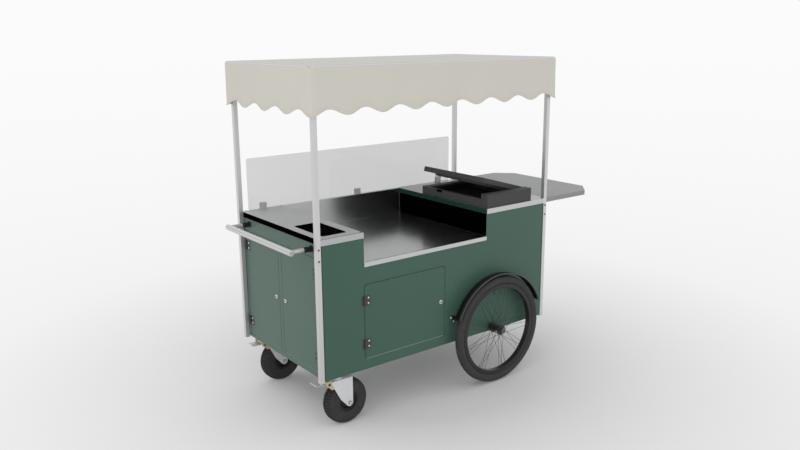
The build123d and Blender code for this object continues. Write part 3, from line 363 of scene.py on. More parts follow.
def steel_finish(colour, name, dull=0.13, top=1.0, edge_highlight=0.6, painted_dark=None, joint=None):
    """Brushed sheet steel, with painted shade on upward faces and a painted highlight on the edges;
    where given, areas painted dark as painted reflection and shade, and joint lines painted dark as
    painted shade.
    """
    f = Finish(name, specular_ior_level=0.0)
    brushed = f.grain(110, 4, (0.02, 6, 6))
    cloud = f.grain(4, 2)
    soft, edge = f.edge(0.002)
    upward = f.facing()[2] > HEAD_ON
    shade = f.tones(colour, brushed, 0.035)
    # Painted shade: faces that look up take their own tone, set by top, unlike the sides of the
    # same sheet.
    shade = f.blend(upward, shade, f.tones(tone(colour, top), brushed, 0.035))
    # Painted highlight: the rounded edges are lightened.
    shade = f.blend(edge * edge_highlight, shade, tone(colour, 1.45))
    rough = dull + brushed * 0.06 + cloud * 0.05
    metallic = 0.96 + brushed * 0.04
    if joint is not None:
        # Painted shade: a dark line along the joint on upward faces.
        shade = f.blend(joint(f) * upward, shade, tone(colour, 0.2))
    if painted_dark is not None:
        # Areas painted dark stand for dark reflections and shade; they lose their metal and turn
        # rougher.
        mask, dark_colour = painted_dark(f)
        shade = f.blend(mask, shade, dark_colour)
        rough = rough + mask * 0.3
        metallic = metallic * (1 - mask)
    f.set("Metallic", metallic)
    return f.surface(shade, rough, brushed, 0.00005, 0.12, soft)


def green_finish(paint, name="green_paint", across=0, doors=None, painted_light_strength=1.0, ends=None):
    """Painted sheet; painted shade darkens the joints round doors and at its ends, and a painted
    highlight lightens the door sills and the edges.
    """
    f = Finish(name, coat_roughness=0.3, specular_ior_level=0.4,
               sheen_weight=0.45, sheen_roughness=0.43)
    peel = f.grain(420, 2)
    cloud = f.grain(3, 3)
    soft, edge = f.edge(0.0025)
    colour = f.tones(paint.green, cloud, 0.07)
    # Painted highlight: the rounded edges are lightened.
    colour = f.blend(edge * 0.7, colour, tone(paint.green, 2.4))
    place = f.place()
    gap, sill_gap, sill_height = 0.0023, 0.0025, 0.003
    for door, corner in (doors or {}).items():
        low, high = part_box(door)
        middle, half = (low + high) / 2, (high - low) / 2
        wide, tall = ((abs(place[axis] - middle[axis]) - (half[axis] - corner)).at_least(0.0)
                      for axis in (across, 2))
        away = abs((wide * wide + tall * tall) ** 0.5 - corner)
        sill = (place[2] < low.z + sill_height) * (away < sill_gap)
        # Painted shade in the gap round the door, and a painted highlight on its sill.
        colour = f.blend((away < gap) * painted_light_strength, colour, JOINT_SHADE)
        colour = f.blend(sill * painted_light_strength * (0.7 + cloud * 0.3), colour, SILL_HIGHLIGHT)
    if ends is not None:
        # Painted shade in the joints beside the posts.
        joint = (place[across] < ends[0]) + (place[across] > ends[1])
        colour = f.blend(joint.limited() * (0.75 + cloud * 0.25), colour, JOINT_SHADE)
    f.set("Coat Weight", 0.03 + cloud * 0.04)
    return f.surface(colour, 0.4 + peel * 0.1 + cloud * 0.06, peel, 0.0003, 0.18, soft)


def cloth_finish(canopy):
    """Woven cloth with a turned hem and two rows of stitches; the roof is painted darker as painted
    shade.
    """
    f = Finish("canopy_cloth", sheen_weight=0.25, sheen_roughness=0.4)
    pitch = tau / canopy.thread
    x, y, z = ((axis * pitch).sine() for axis in f.place())
    threads = (x + y + z) * 0.25 + 0.5
    fibre = f.grain(900, 2)
    mottle = f.grain(4, 4) * 0.6 + fibre * 0.4
    above, along = f.attribute("above_hem"), f.attribute("along")
    stitch_half = 0.0009
    dash = (along % canopy.stitch) < canopy.stitch * 0.65
    rows = [abs(above - canopy.hem * share) < stitch_half for share in (1.0, 1.5)]
    stitch = dash * (rows[0] + rows[1]).limited()
    fold = above.between(0.0, canopy.hem * 1.15)
    upward = ((f.facing()[2] - 0.08) * 2.2).limited()
    colour = f.tones(canopy.cloth, mottle, 0.05)
    # Painted shade: faces that look up take the darker roof colour.
    colour = f.blend(upward, colour, f.tones(canopy.roof_shade, mottle, 0.05))
    colour = f.blend(fold * 0.3, colour, tone(canopy.cloth, 0.97))
    colour = f.blend(stitch * 0.5, colour, tone(canopy.cloth, 0.75))
    relief = threads * 0.5 + fibre * 0.3 + fold * 0.8 - stitch * 0.8
    return f.surface(colour, 0.72 + threads * 0.1 + fibre * 0.08, relief, 0.0006, 0.3)


def glass_finish(metal):
    """Clear glass with a faint haze."""
    f = Finish("guard_glass", roughness=0.04, alpha=0.28, ior=1.5)
    haze = f.grain(7, 4)
    f.set("Base Color", f.tones(metal.glass, haze, 0.03))
    f.set("Coat Weight", 0.1 + haze * 0.1)
    return f


def plastic_finish(name, colour, rough=0.45, gloss=0.5):
    """Moulded plastic or smooth paint, with a fine speck and a painted highlight on its edges."""
    f = Finish(name, specular_ior_level=gloss)
    speck = f.grain(700, 2)
    soft, edge = f.edge(0.0015)
    shade = f.tones(colour, f.grain(25, 3), 0.12)
    # Painted highlight: the rounded edges are lightened.
    shade = f.blend(edge * 0.4, shade, tone(colour, 1.7))
    return f.surface(shade, rough + speck * 0.12, speck, 0.0003, 0.25, soft)


def guard_finish(paint):
    """Black paint with a painted highlight along the outer lip of a mudguard; its feet are green.
    """
    f = plastic_finish("guard_black", tone(paint.black, 1.3), 0.36, 0.26)
    low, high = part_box("fender_far")
    lip_width, foot = 0.018, 0.0035
    y = abs(f.place()[1])
    speck = f.grain(600, 2)
    # Painted highlight: the outer lip takes a paler black than the rest of the band.
    lip = ((y - high.y + lip_width) * 180).limited()
    shade = f.blend(lip, tone(paint.black, 0.4), f.tones(tone(paint.black, 2.6), speck, 0.1))
    f.set("Base Color", f.blend(y < low.y + foot, shade, f.tones(paint.green, speck, 0.07)))
    return f


def zinc_finish(name, colour, shine=0.8):
    """Plated steel with a fine spangle and a painted highlight on its edges."""
    f = Finish(name)
    spangle = f.cell_greys(140)
    cloud = f.grain(40, 4)
    soft, edge = f.edge(0.0015)
    shade = f.tones(colour, spangle * 0.6 + cloud * 0.4, 0.12)
    # Painted highlight: the rounded edges are lightened.
    shade = f.blend(edge * 0.5, shade, tone(colour, 1.3))
    f.set("Metallic", shine - cloud * 0.15)
    return f.surface(shade, 0.34 + spangle * 0.16 + cloud * 0.1, cloud, 0.0002, 0.2, soft)


def bolt_finish(zinc):
    """Dark bolts in the posts, bright screws in the mudguard feet and caster plates."""
    f = zinc_finish("bolt_steel", zinc)
    post_bolts_from = 0.72
    shade = f.grain(300, 2)
    bright = f.tones(tone(zinc, 1.35), shade, 0.06)
    f.set("Base Color", f.blend(f.place()[2] > post_bolts_from, bright, tone(zinc, 0.12)))
    f.set("Metallic", 0.1 + shade * 0.1)
    return f


def rubber_finish(name, rubber, lugged=False):
    """Dusty rubber; the gaps of a lugged tyre are painted dark as painted shade."""
    f = Finish(name, specular_ior_level=0.35)
    speck = f.grain(500, 3)
    dust = ((f.grain(14, 5) - 0.52) * 2.2).limited()
    colour = f.blend(dust, f.tones(rubber, speck, 0.18), tone(rubber, 1.8))
    if lugged:
        # Painted shade: the lug gaps are darkened.
        gap = f.attribute("lug_gap").limited()
        colour = f.blend(gap * 0.85, colour, tone(rubber, 0.12))
    return f.surface(colour, 0.68 + speck * 0.2, speck, 0.0004, 0.3)


def foam_finish(paint):
    """Moulded bead foam with a painted highlight on its edges, near black on the inner faces of the
    box.
    """
    f = Finish("box_foam", specular_ior_level=0.5)
    low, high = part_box("box_body")
    side_wall, end_wall, rim_drop, beads = 0.0215, 0.0555, 0.045, 260
    x, y, z = f.place()
    inside = x.between(low.x + side_wall, high.x - side_wall) * (z < high.z - rim_drop)
    inside = inside * y.between(low.y + end_wall, high.y - end_wall)
    bead = f.cell_greys(beads)
    groove = (f.cells(beads, "DISTANCE_TO_EDGE", "Distance") * 9).limited()
    soft, edge = f.edge(0.003)
    colour = f.blend(groove, tone(paint.foam, 0.72), f.tones(paint.foam, bead, 0.14))
    # Painted highlight: the rounded edges are lightened.
    colour = f.blend(edge * 0.35, colour, tone(paint.foam, 1.7))
    # The inner faces of the box are near black.
    colour = f.blend(inside, colour, tone(paint.foam, 0.02))
    return f.surface(colour, 0.62 + bead * 0.12, groove * 0.7 + bead * 0.3, 0.0006, 0.35, soft)


# Settings

def colour_setting(name, text, value):
    return bpy.props.FloatVectorProperty(name=name, description=text, subtype="COLOR", size=3,
                                         min=0.0, max=1.0, default=value)


def number_setting(name, text, value, **more):
    return bpy.props.FloatProperty(name=name, description=text, default=value, **more)


def length_setting(name, text, value):
    return number_setting(name, text, value, unit="LENGTH", precision=4)


def angle_setting(name, text, value):
    return number_setting(name, text, radians(value), subtype="ANGLE")


def count_setting(name, text, value):
    return bpy.props.IntProperty(name=name, description=text, min=1, default=value)


class CartCanopySettings(bpy.types.PropertyGroup):
    """Cloth of the canopy."""

    cloth: colour_setting("Cloth", "Colour of the canopy cloth", (0.69, 0.665, 0.6))
    # Painted shade: the darker colour of the roof side, against the light from above.
    roof_shade: colour_setting("Dusty cloth", "Colour of the roof side, greyed by dust",
                          (0.56, 0.545, 0.508))
    sag: length_setting("Sag", "Dip of the roof between its tubes", 0.006)
    flare: length_setting("Flare", "How far the hem swings in and out", 0.006)
    wave: length_setting("Wave height", "Height of the waves of the hem", 0.033)
    edge: length_setting("Edge radius", "Round of the roof edge", 0.016)
    hem: length_setting("Hem", "Width of the sewn hem", 0.012)
    stitch: length_setting("Stitch", "Pitch of the stitches", 0.006)
    thread: length_setting("Thread", "Pitch of the weave", 0.0012)
    long_waves: count_setting("Long waves", "Waves along a long side", 8)
    short_waves: count_setting("Short waves", "Waves along a short side", 4)


class CartMetalSettings(bpy.types.PropertyGroup):
    """Bare metal, glass and plating."""

    aluminium: colour_setting("Aluminium", "Colour of posts, handle and roof tubes",
                              (0.66, 0.655, 0.66))
    steel: colour_setting("Steel", "Colour of worktops, deck and shelf", (0.57, 0.58, 0.583))
    zinc: colour_setting("Zinc", "Colour of caster forks and small fittings", (0.7, 0.71, 0.72))
    gold: colour_setting("Yellow zinc", "Colour of the brake brackets", (0.7, 0.56, 0.34))
    glass: colour_setting("Glass", "Tint of the guard", (0.56, 0.565, 0.565))


class CartPaintSettings(bpy.types.PropertyGroup):
    """Paint, plastic, rubber and foam."""

    green: colour_setting("Green", "Colour of the painted panels", (0.037, 0.106, 0.073))
    black: colour_setting("Black", "Colour of mudguards, rims and sockets", (0.012, 0.012, 0.012))
    hinge: colour_setting("Hinge", "Colour of the hinges", (0.052, 0.046, 0.043))
    rubber: colour_setting("Rubber", "Colour of the tyres", (0.042, 0.042, 0.042))
    foam: colour_setting("Foam", "Colour of the lidded box", (0.056, 0.056, 0.056))
    clip: colour_setting("Clip", "Colour of the glass clips", (0.5, 0.5, 0.5))


class CartWheelSettings(bpy.types.PropertyGroup):
    """Tyres of the large wheels and the casters."""

    groove: length_setting("Groove", "Depth of the tread of the large tyres", 0.0016)
    lug: length_setting("Lug", "Depth of the tread of the caster tyres", 0.0035)
    bead: length_setting("Bead", "Radius of the rolled edge of a mudguard", 0.0019)
    steps: count_setting("Steps", "Steps round a large tyre", 288)
    lugs: count_setting("Lugs", "Lugs round a caster tyre", 44)


class CartStageSettings(bpy.types.PropertyGroup):
    """Floor, light and camera."""

    floor: colour_setting("Floor", "Colour of the floor near the cart", (0.78, 0.78, 0.78))
    eye: bpy.props.FloatVectorProperty(name="Eye", description="Place of the camera", size=3,
                                       subtype="TRANSLATION", default=(-3.0265, -3.731, 2.097))
    yaw: angle_setting("Yaw", "Turn of the camera from +Y to +X", 37.487)
    pitch: angle_setting("Pitch", "Tilt of the camera downwards", 13.758)
    roll: angle_setting("Roll", "Roll of the camera", 0.417)
    lens: number_setting("Lens", "Focal length of the camera", 35.66, unit="CAMERA")
    sky: number_setting("Sky", "Strength of the light from all round", 0.872)
    key: number_setting("Key", "Power of the main lamp", 32.0, unit="POWER")
    white: number_setting("White", "Brightness of the white background", 0.965)
    shadow: length_setting("Shadow", "Reach of the floor that keeps all its shadow", 0.8)
    fade: length_setting("Fade", "Width of floor over which the shadow fades out", 2.2)


# Pieces

class CartPostsAndRails(bpy.types.Operator):
    """Finish the posts, roof tubes and base rails, and plug the post feet"""

    bl_idname = "cart.posts_and_rails"
    bl_label = "Posts and Rails"

    def execute(self, context):
        metal, paint = context.scene.cart_metal, context.scene.cart_paint
        aluminium_finish(metal).on("corner_posts", "canopy_frame")
        rails = zinc_finish("rail_steel", tone(metal.zinc, 0.7))
        rails.on("base_long_rails", "base_cross_rails", "cabinet_floor")
        bolt_finish(metal.zinc).on("fasteners")
        low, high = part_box("corner_posts")
        half, inner, foot, rise = POST_SIDE / 2, 0.0104, 0.0015, 0.012
        plug = boxed((-inner, -inner, -foot), (inner, inner, rise), 0.001)
        feet = [Matrix.Translation((x, y, low.z)) for x in (low.x + half, high.x - half)
                for y in (low.y + half, high.y - half)]
        plastic = plastic_finish("plug_plastic", tone(paint.clip, 0.6))
        add_piece("post_foot_plugs", *many(plug, feet), "cart", plastic, "black_plastic", sharp=30)
        return {"FINISHED"}


class CartPanels(bpy.types.Operator):
    """Paint the panels and the doors"""

    bl_idname = "cart.panels"
    bl_label = "Painted Panels"

    def execute(self, context):
        paint = context.scene.cart_paint
        low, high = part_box("corner_posts")
        joint, side_corner, end_corner = 0.008, 0.022, 0.004
        beside_posts = (low.x + POST_SIDE + joint, high.x - POST_SIDE - joint)
        side = green_finish(paint, "green_side_paint", 0, {"near_door": side_corner},
                            ends=beside_posts)
        side.on("near_panel", "near_door")
        doors = {"end_door_near": end_corner, "end_door_far": end_corner}
        green_finish(paint, "green_end_paint", 1, doors, 0.6).on("handle_end_frame", *doors)
        green_finish(paint).on("far_panel", "shelf_end_panel")
        return {"FINISHED"}


class CartWorktops(bpy.types.Operator):
    """Finish the worktops and the sunken deck, with painted dark reflections and shade on two
    skirts, the cut-out and one deck wall
    """

    bl_idname = "cart.worktops"
    bl_label = "Worktops"

    def execute(self, context):
        steel, paint = context.scene.cart_metal.steel, context.scene.cart_paint
        low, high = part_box("left_worktop")
        right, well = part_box("right_worktop")[0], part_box("well_liner")[1]
        skirt, wall, joint, joint_half = 0.004, 0.02, 0.014, 0.0026

        def end_band(f):
            x, y, _ = f.place()
            nx, _, nz = f.facing()
            # Painted dark reflection: the skirt at the handle end, facing -X, is painted near
            # black.
            band = (nx < -HEAD_ON) * (x < low.x + skirt)
            # Painted shade: the walls of the cut-out are painted near black.
            hole = x.between(*PAN_X) * y.between(*PAN_Y) * (nz < 0.5)
            return (band + hole).limited(), tone(paint.black, 0.1)

        def deck_band(f):
            # Painted reflection: the left skirt of the right worktop, facing -X, is painted dark
            # green.
            mask = (f.facing()[0] < -HEAD_ON) * (f.place()[0] < right.x + skirt)
            return mask, tone(paint.green, 0.55)

        def dark_wall(f):
            # Painted dark reflection: the wall of the deck that faces -X is painted near black.
            mask = (f.facing()[0] < -HEAD_ON) * (f.place()[0] > well.x - wall)
            return mask, tone(paint.black, 0.05)

        # Painted shade: the band of the front joint, a set distance behind the front edge.
        def front_joint_shade(f):
            return abs(f.place()[1] - low.y - joint) < joint_half

        left_top = steel_finish(steel, "left_top_steel", 0.6, painted_dark=end_band, joint=front_joint_shade)
        right_top = steel_finish(steel, "right_top_steel", 0.3, 0.66, painted_dark=deck_band)
        deck = steel_finish(steel, "deck_steel", top=0.92, edge_highlight=0.1, painted_dark=dark_wall,
                            joint=front_joint_shade)
        left_top.on("left_worktop")
        right_top.on("right_worktop")
        deck.on("well_liner")
        side, inner, outer = 0.018, 0.008, 0.02
        corners = [(high.x - inner, high.y - side), (low.x + outer, high.y - side),
                   (high.x - inner, low.y + side)]
        spots = [((x, y, high.z), (0, 0, 1)) for x, y in corners]
        screws = plastic_finish("screw_dark", paint.black)
        add_copies("worktop_screws", button_head(5.0, 1.6), spots, "cart", screws, "zinc_steel")
        return {"FINISHED"}


class CartHandle(bpy.types.Operator):
    """Finish the push handle, its sockets and its end plugs"""

    bl_idname = "cart.handle"
    bl_label = "Push Handle"

    def execute(self, context):
        metal, paint = context.scene.cart_metal, context.scene.cart_paint

        def seam(f):
            nx, _, nz = f.facing()
            return (abs(nx * 0.5 + nz * 0.866) < 0.1) * (nx < 0.0)

        aluminium_finish(metal, "handle_aluminium", (1, 0.02, 1), seam).on("push_handle")
        black = plastic_finish("socket_plastic", tone(paint.black, 1.2), 0.4, 0.3)
        black.on("handle_sockets")
        plastic = plastic_finish("handle_plug_plastic", tone(paint.clip, 0.8))
        steel = zinc_finish("grub_steel", tone(metal.zinc, 0.5))
        low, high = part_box("push_handle")
        level = (low.z + high.z) / 2
        plug = turned([(11.8, -0.5), (11.8, 0), (10.8, 0.3), (9.2, 0.2), (8.6, -0.4),
                       (7.8, -0.4), (7.2, 0.3), (4, 0.6), (0.4, 0.7)])
        spots = both_ends(low, high, low.x + GRIP_RADIUS, level)
        add_copies("handle_end_plugs", plug, spots, "cart", plastic, "black_plastic")
        mouth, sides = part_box("handle_sockets")[0].x, (-SOCKET_Y, SOCKET_Y)
        collar = turned([(12.7, -1), (13.9, -0.5), (13.9, 3.5), (13.1, 4.5), (13.1, 9),
                         (13.6, 9.8), (13.6, 11.5), (12.9, 12.5), (11.2, 12.8)])
        spots = [((mouth, y, level), (-1, 0, 0)) for y in sides]
        add_copies("socket_collars", collar, spots, "cart", black, "black_plastic")
        inward, top = 0.018, 0.0146
        spots = [((mouth + inward, y, level + top), (0, 0, 1)) for y in sides]
        add_copies("socket_grub_screws", button_head(3.2, 1.2), spots, "cart", steel, "zinc_steel")
        return {"FINISHED"}


class CartGuard(bpy.types.Operator):
    """Finish the glass guard and its clips, with their clamp screws"""

    bl_idname = "cart.guard"
    bl_label = "Glass Guard"

    def execute(self, context):
        metal, paint = context.scene.cart_metal, context.scene.cart_paint
        glass_finish(metal).on("glass_guard")
        plastic_finish("clip_plastic", paint.clip, 0.3).on("glass_clips")
        steel = zinc_finish("clip_screw_steel", tone(metal.zinc, 0.8))
        low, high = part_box("glass_clips")
        half_clip, rise = 0.0185, 0.023
        spots = []
        for x in (low.x + half_clip, (low.x + high.x) / 2, high.x - half_clip):
            spots += both_ends(low, high, x, low.z + rise)
        add_copies("clip_screws", button_head(5.0, 2.0), spots, "cart", steel, "zinc_steel")
        return {"FINISHED"}


def sew_canopy(canopy):
    """One sheet over the roof tubes, bent round the edge and hanging in waves, with a bound hem."""
    finish = cloth_finish(canopy)
    low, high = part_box("canopy_cover")
    centre = (low + high) / 2
    inset, corner, cord_radius, wave_steps, bend_steps = 0.001, 0.008, 0.0017, 12, 4
    half = Vector(((high.x - low.x) / 2 - inset, (high.y - low.y) / 2 - inset))
    edge, top = canopy.edge, high.z - canopy.edge
    shrink = Vector(((half.x - edge) / half.x, (half.y - edge) / half.y))
    across, deep = canopy.long_waves * wave_steps, canopy.short_waves * wave_steps
    columns = [-half.x + 2 * half.x * i / across for i in range(across + 1)]
    rows = [-half.y + 2 * half.y * j / deep for j in range(deep + 1)]
    tubes = [-half.x, -ROOF_TUBE_X, ROOF_TUBE_X, half.x]
    rim = [(i, 0) for i in range(across)] + [(across, j) for j in range(deep)]
    rim += [(i, deep) for i in range(across, 0, -1)] + [(0, j) for j in range(deep, 0, -1)]
    count = len(rim)

    def dip(x, y):
        """Share of the sag at a point of the roof."""
        for a, b in zip(tubes, tubes[1:]):
            if a <= x <= b:
                share = (x - a) / (b - a)
                return 4 * share * (1 - share) * (1 - (y / half.y) ** 2)
        return 0.0

    def outline(i, j, out):
        """A point of the rim with its corners rounded, moved out from its side."""
        x, y = columns[i], rows[j]
        cx = max(-half.x + corner, min(half.x - corner, x))
        cy = max(-half.y + corner, min(half.y - corner, y))
        away = Vector((x - cx, y - cy))
        point = Vector((x, y))
        if min(abs(away.x), abs(away.y)) > 1e-6:
            point = Vector((cx, cy)) + away.normalized() * corner
        side = Vector(((i == across) - (i == 0), (j == deep) - (j == 0)))
        return point + side.normalized() * out

    def swing(i, j):
        """The waves of the hem, from one to minus one."""
        if j in (0, deep):
            return cos(tau * (i / across * canopy.long_waves))
        return cos(tau * (j / deep * canopy.short_waves))

    verts = []
    for y in rows:
        for x in columns:
            px, py = x * shrink.x, y * shrink.y
            verts.append(Vector((centre.x + px, py, high.z - canopy.sag * dip(px, py))))
    faces = grid_faces(deep + 1, across + 1, wrap_columns=False)
    above, along = [-1.0] * len(verts), [0.0] * len(verts)
    runs = [0.0]
    for (i, j), (i2, j2) in zip(rim, rim[1:]):
        runs.append(runs[-1] + hypot(columns[i] - columns[i2], rows[j] - rows[j2]))
    bends = [pi / 2 * k / bend_steps for k in range(1, bend_steps + 1)]
    drops = [0.06, 0.16, 0.28, 0.4, 0.52, 0.64, 0.74, 0.83, 0.9, 0.95, 0.98, 1.0]
    previous = [j * (across + 1) + i for i, j in rim]
    for stage in bends + drops:
        current = [len(verts) + k for k in range(count)]
        for (i, j), run in zip(rim, runs):
            bottom = low.z + canopy.wave / 2 * (1 - swing(i, j))
            if stage in bends:
                out = -edge * (1 - sin(stage))
                z = high.z - edge * (1 - cos(stage))
            else:
                slow = sin(run * 5.3) * 0.5 + sin(run * 11.7 + 1.0) * 0.3
                out = canopy.flare * stage ** 1.6 * (0.55 * swing(i, j) + 0.6 * slow)
                z = top + (bottom - top) * stage
            point = outline(i, j, out)
            verts.append(Vector((centre.x + point.x, point.y, z)))
            above.append(z - bottom)
            along.append(run)
        faces += [(previous[k], current[k], current[(k + 1) % count], previous[(k + 1) % count])
                  for k in range(count)]
        previous = current
    cloth = add_piece("canopy_cloth", verts, faces, "cart", finish, "canopy_fabric", sharp=180)
    write_values(cloth, "above_hem", above)
    write_values(cloth, "along", along)
    smooth = cloth.modifiers.new("smooth", "SUBSURF")
    smooth.levels = smooth.render_levels = 1
    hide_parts("canopy_cover")
    cord = swept(verts[-count:], cord_radius)
    binding = add_piece("canopy_hem_cord", *cord, "cart", finish, "canopy_fabric", sharp=180)


class CartCanopy(bpy.types.Operator):
    """Sew the canopy: one sheet that dips between the tubes and hangs in a waved valance"""

    bl_idname = "cart.canopy"
    bl_label = "Canopy"

    def execute(self, context):
        sew_canopy(context.scene.cart_canopy)
        return {"FINISHED"}


def door_spot(axis, across, plane, z):
    """A place on a door and the way that it looks."""
    if axis == 0:
        return (across, plane, z), (0, -1, 0)
    return (plane, across, z), (-1, 0, 0)


class CartHinges(bpy.types.Operator):
    """Finish the hinges and locks, with their screws, rivets and rosettes"""

    bl_idname = "cart.hinges"
    bl_label = "Hinges and Locks"

    def execute(self, context):
        zinc, paint = context.scene.cart_metal.zinc, context.scene.cart_paint
        dark = plastic_finish("hinge_coat", paint.hinge, 0.38)
        dark.on("hinge_frame_leaves", *(door + "_leaves" for door in DOORS))
        zinc_finish("lock_barrel", tone(zinc, 1.25)).on(*(door + "_lock" for door in DOORS))
        bright = zinc_finish("screw_bright", tone(zinc, 1.35))
        # Painted shade: the hinge screws of the near end door take a darker zinc, as they sit in
        # shade.
        shaded_screw = zinc_finish("screw_painted_shade", tone(zinc, 0.4))
        chrome = zinc_finish("lock_plate", tone(zinc, 0.35))
        # Painted shade: a near-black disc on the lock face stands for the shade in the keyhole.
        black = plastic_finish("key_recess", tone(paint.black, 0.4), 0.5, 0.1)
        ring = turned([(11.2, 0), (11.2, 1.2), (11.6, 1.6), (12.4, 0.9), (12.7, 0)], steps=40)
        key = turned([(5.8, 0), (5.6, 0.4), (4.6, 0.5), (4.2, 0.2), (0.3, 0.2)], steps=24)
        leaf_half, screw_rise, screw_in, rivet_out, lock_drop = 0.027, 0.015, 0.014, 0.005, 0.011
        rivets = []
        for door, (axis, leaf_plane, door_plane) in DOORS.items():
            low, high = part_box(door + "_leaves")
            inner, outer = sorted((low[axis], high[axis]), key=abs)
            step = 1 if outer > inner else -1
            screws = []
            for level in (low.z + leaf_half, high.z - leaf_half):
                for z in (level - screw_rise, level + screw_rise):
                    screws.append(door_spot(axis, inner + step * screw_in, leaf_plane, z))
                    rivets.append(door_spot(axis, outer + step * rivet_out, leaf_plane, z))
            add_copies(door + "_hinge_screws", button_head(5.2, 2.2), screws, door,
                       shaded_screw if door == "end_door_near" else bright, "zinc_steel")
            low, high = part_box(door + "_lock")
            middle, z = (low[axis] + high[axis]) / 2, high.z - lock_drop
            spots = [door_spot(axis, middle, door_plane, z)]
            add_copies(door + "_lock_rosette", ring, spots, door, chrome, "lock_chrome")
            spots = [door_spot(axis, middle, low[1 - axis], z)]
            add_copies(door + "_lock_key", key, spots, door + "_lock", black, "black_plastic")
        add_copies("hinge_frame_rivets", button_head(2.4, 1.2), rivets, "cart", dark, "hinge_dark")
        return {"FINISHED"}


def add_guard_bead(name, centre, radius, satin):
    """The rolled wire edge along the outer side of a mudguard, in a grey that is a painted
    highlight.
    """
    low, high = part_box(name)
    reach = high.z - centre.z - radius
    edge = (high.y if centre.y > 0 else low.y) - copysign(radius, centre.y) * 0.4
    start, sweep, steps = 21, 137, 90
    turns = [radians(start + sweep * i / steps) for i in range(steps + 1)]
    path = [Vector((centre.x, edge, centre.z)) + wheel_point(reach, turn) for turn in turns]
    wire = swept(path, radius, closed=False)
    add_piece(name + "_bead", *wire, "cart", satin, "black_paint", sharp=60)


def tread_depth(step, lean, groove):
    """Depth of a large tyre's tread, at a step round it and a lean in degrees from its crown."""
    wall_lines, line_height = ((62, 66), (108, 112), (128, 131)), 0.0007
    if 8 <= lean <= 13:
        return groove
    if 16 <= lean <= 36 and (step + int(lean / 7)) % 4 == 0:
        return groove * 0.8
    if lean < 6 and step % 8 == 0:
        return groove * 0.5
    if any(low <= lean <= high for low, high in wall_lines):
        return -line_height
    return 0.0


def add_large_tyre(name, centre, outer, section, wheel, rubber):
    """A round tyre with two grooves, cross cuts and raised lines on the walls."""
    opening, outside, inside, casing = 150, 60, 12, 0.004
    arc = [radians(-opening + 2 * opening * j / outside) for j in range(outside + 1)]
    inner = [radians(opening - 2 * opening * j / inside) for j in range(inside + 1)]
    middle = outer - section
    verts = []
    for i, turn in enumerate(circle(wheel.steps)):
        ring = [(phi, section - tread_depth(i, abs(degrees(phi)), wheel.groove)) for phi in arc]
        ring += [(phi, section - casing) for phi in inner]
        for phi, reach in ring:
            radius = middle + reach * cos(phi)
            verts.append(centre + wheel_point(radius, turn, reach * sin(phi)))
    faces = grid_faces(wheel.steps, len(arc) + len(inner), wrap_rows=True)
    piece = add_piece(name + "_tread_tyre", verts, faces, name, rubber, "tyre_rubber", sharp=42)
    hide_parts(name + "_tyre")


def add_wheel_trim(name, centre, plate, rubber):
    """Spoke nipples round the rim, and one valve stem."""
    spokes, crossing = 9, radians(68)
    rim, hub, hub_side, hub_step = 0.26, 0.026, 0.03, 0.003
    nipple = turned([(2.1, 0), (2.1, 8), (1.6, 11.5), (1.3, 12)], steps=12)
    spots = []
    for side in (-1, 1):
        for i in range(spokes):
            for lean, rim_y in ((-1, 0.0015), (1, 0.006)):
                start = (i + side / 8 + lean / 4) * tau / spokes
                spot = centre + wheel_point(rim, start + lean * crossing, side * rim_y)
                root = centre + wheel_point(hub, start, side * (hub_side + lean * hub_step))
                spots.append((spot, root - spot))
    add_copies(name + "_nipples", nipple, spots, name, plate, "zinc_steel")
    stem = turned([(4.2, 0), (4.2, 3), (3.1, 4), (3.1, 22), (3.6, 22.5), (3.6, 33), (2.8, 34.5),
                   (0.4, 35)], steps=16)
    out, valve_rim = wheel_point(1.0, radians(98)), 0.2605
    spots = [(centre + out * valve_rim, -out)]
    add_copies(name + "_valve", stem, spots, name, rubber, "tyre_rubber")


class CartLargeWheels(bpy.types.Operator):
    """Mould the large tyres with their tread, and finish rims, spokes, hubs and mudguards"""

    bl_idname = "cart.large_wheels"
    bl_label = "Large Wheels"

    def execute(self, context):
        scene = context.scene
        wheel, paint, zinc = scene.cart_wheel, scene.cart_paint, scene.cart_metal.zinc
        rim = plastic_finish("rim_black", tone(paint.black, 1.4), 0.34, 0.4)
        rim.on("wheel_near_rim", "wheel_far_rim")
        guard_finish(paint).on("fender_near", "fender_far")
        spokes = zinc_finish("spoke_dark", tone(paint.hinge, 1.1))
        spokes.on("wheel_near_spokes", "wheel_far_spokes")
        hub = plastic_finish("hub_black", tone(paint.black, 1.6), 0.34)
        hub.on("wheel_near_hub", "wheel_far_hub", "axle_near", "axle_far")
        zinc_finish("nut_plate", tone(zinc, 0.3)).on("axle_nuts")
        rubber = rubber_finish("tyre_rubber", paint.rubber)
        plate = zinc_finish("nipple_plate", tone(zinc, 0.16))
        # Painted highlight: the bead is a grey well above the mudguard's black.
        satin = plastic_finish("bead_painted_highlight", tone(paint.black, 9.0), 0.3)
        for name in ("wheel_near", "wheel_far"):
            centre, outer, section = tyre_size(name)
            add_large_tyre(name, centre, outer, section, wheel, rubber)
            add_wheel_trim(name, centre, plate, rubber)
            add_guard_bead(name.replace("wheel", "fender"), centre, wheel.bead, satin)
        return {"FINISHED"}


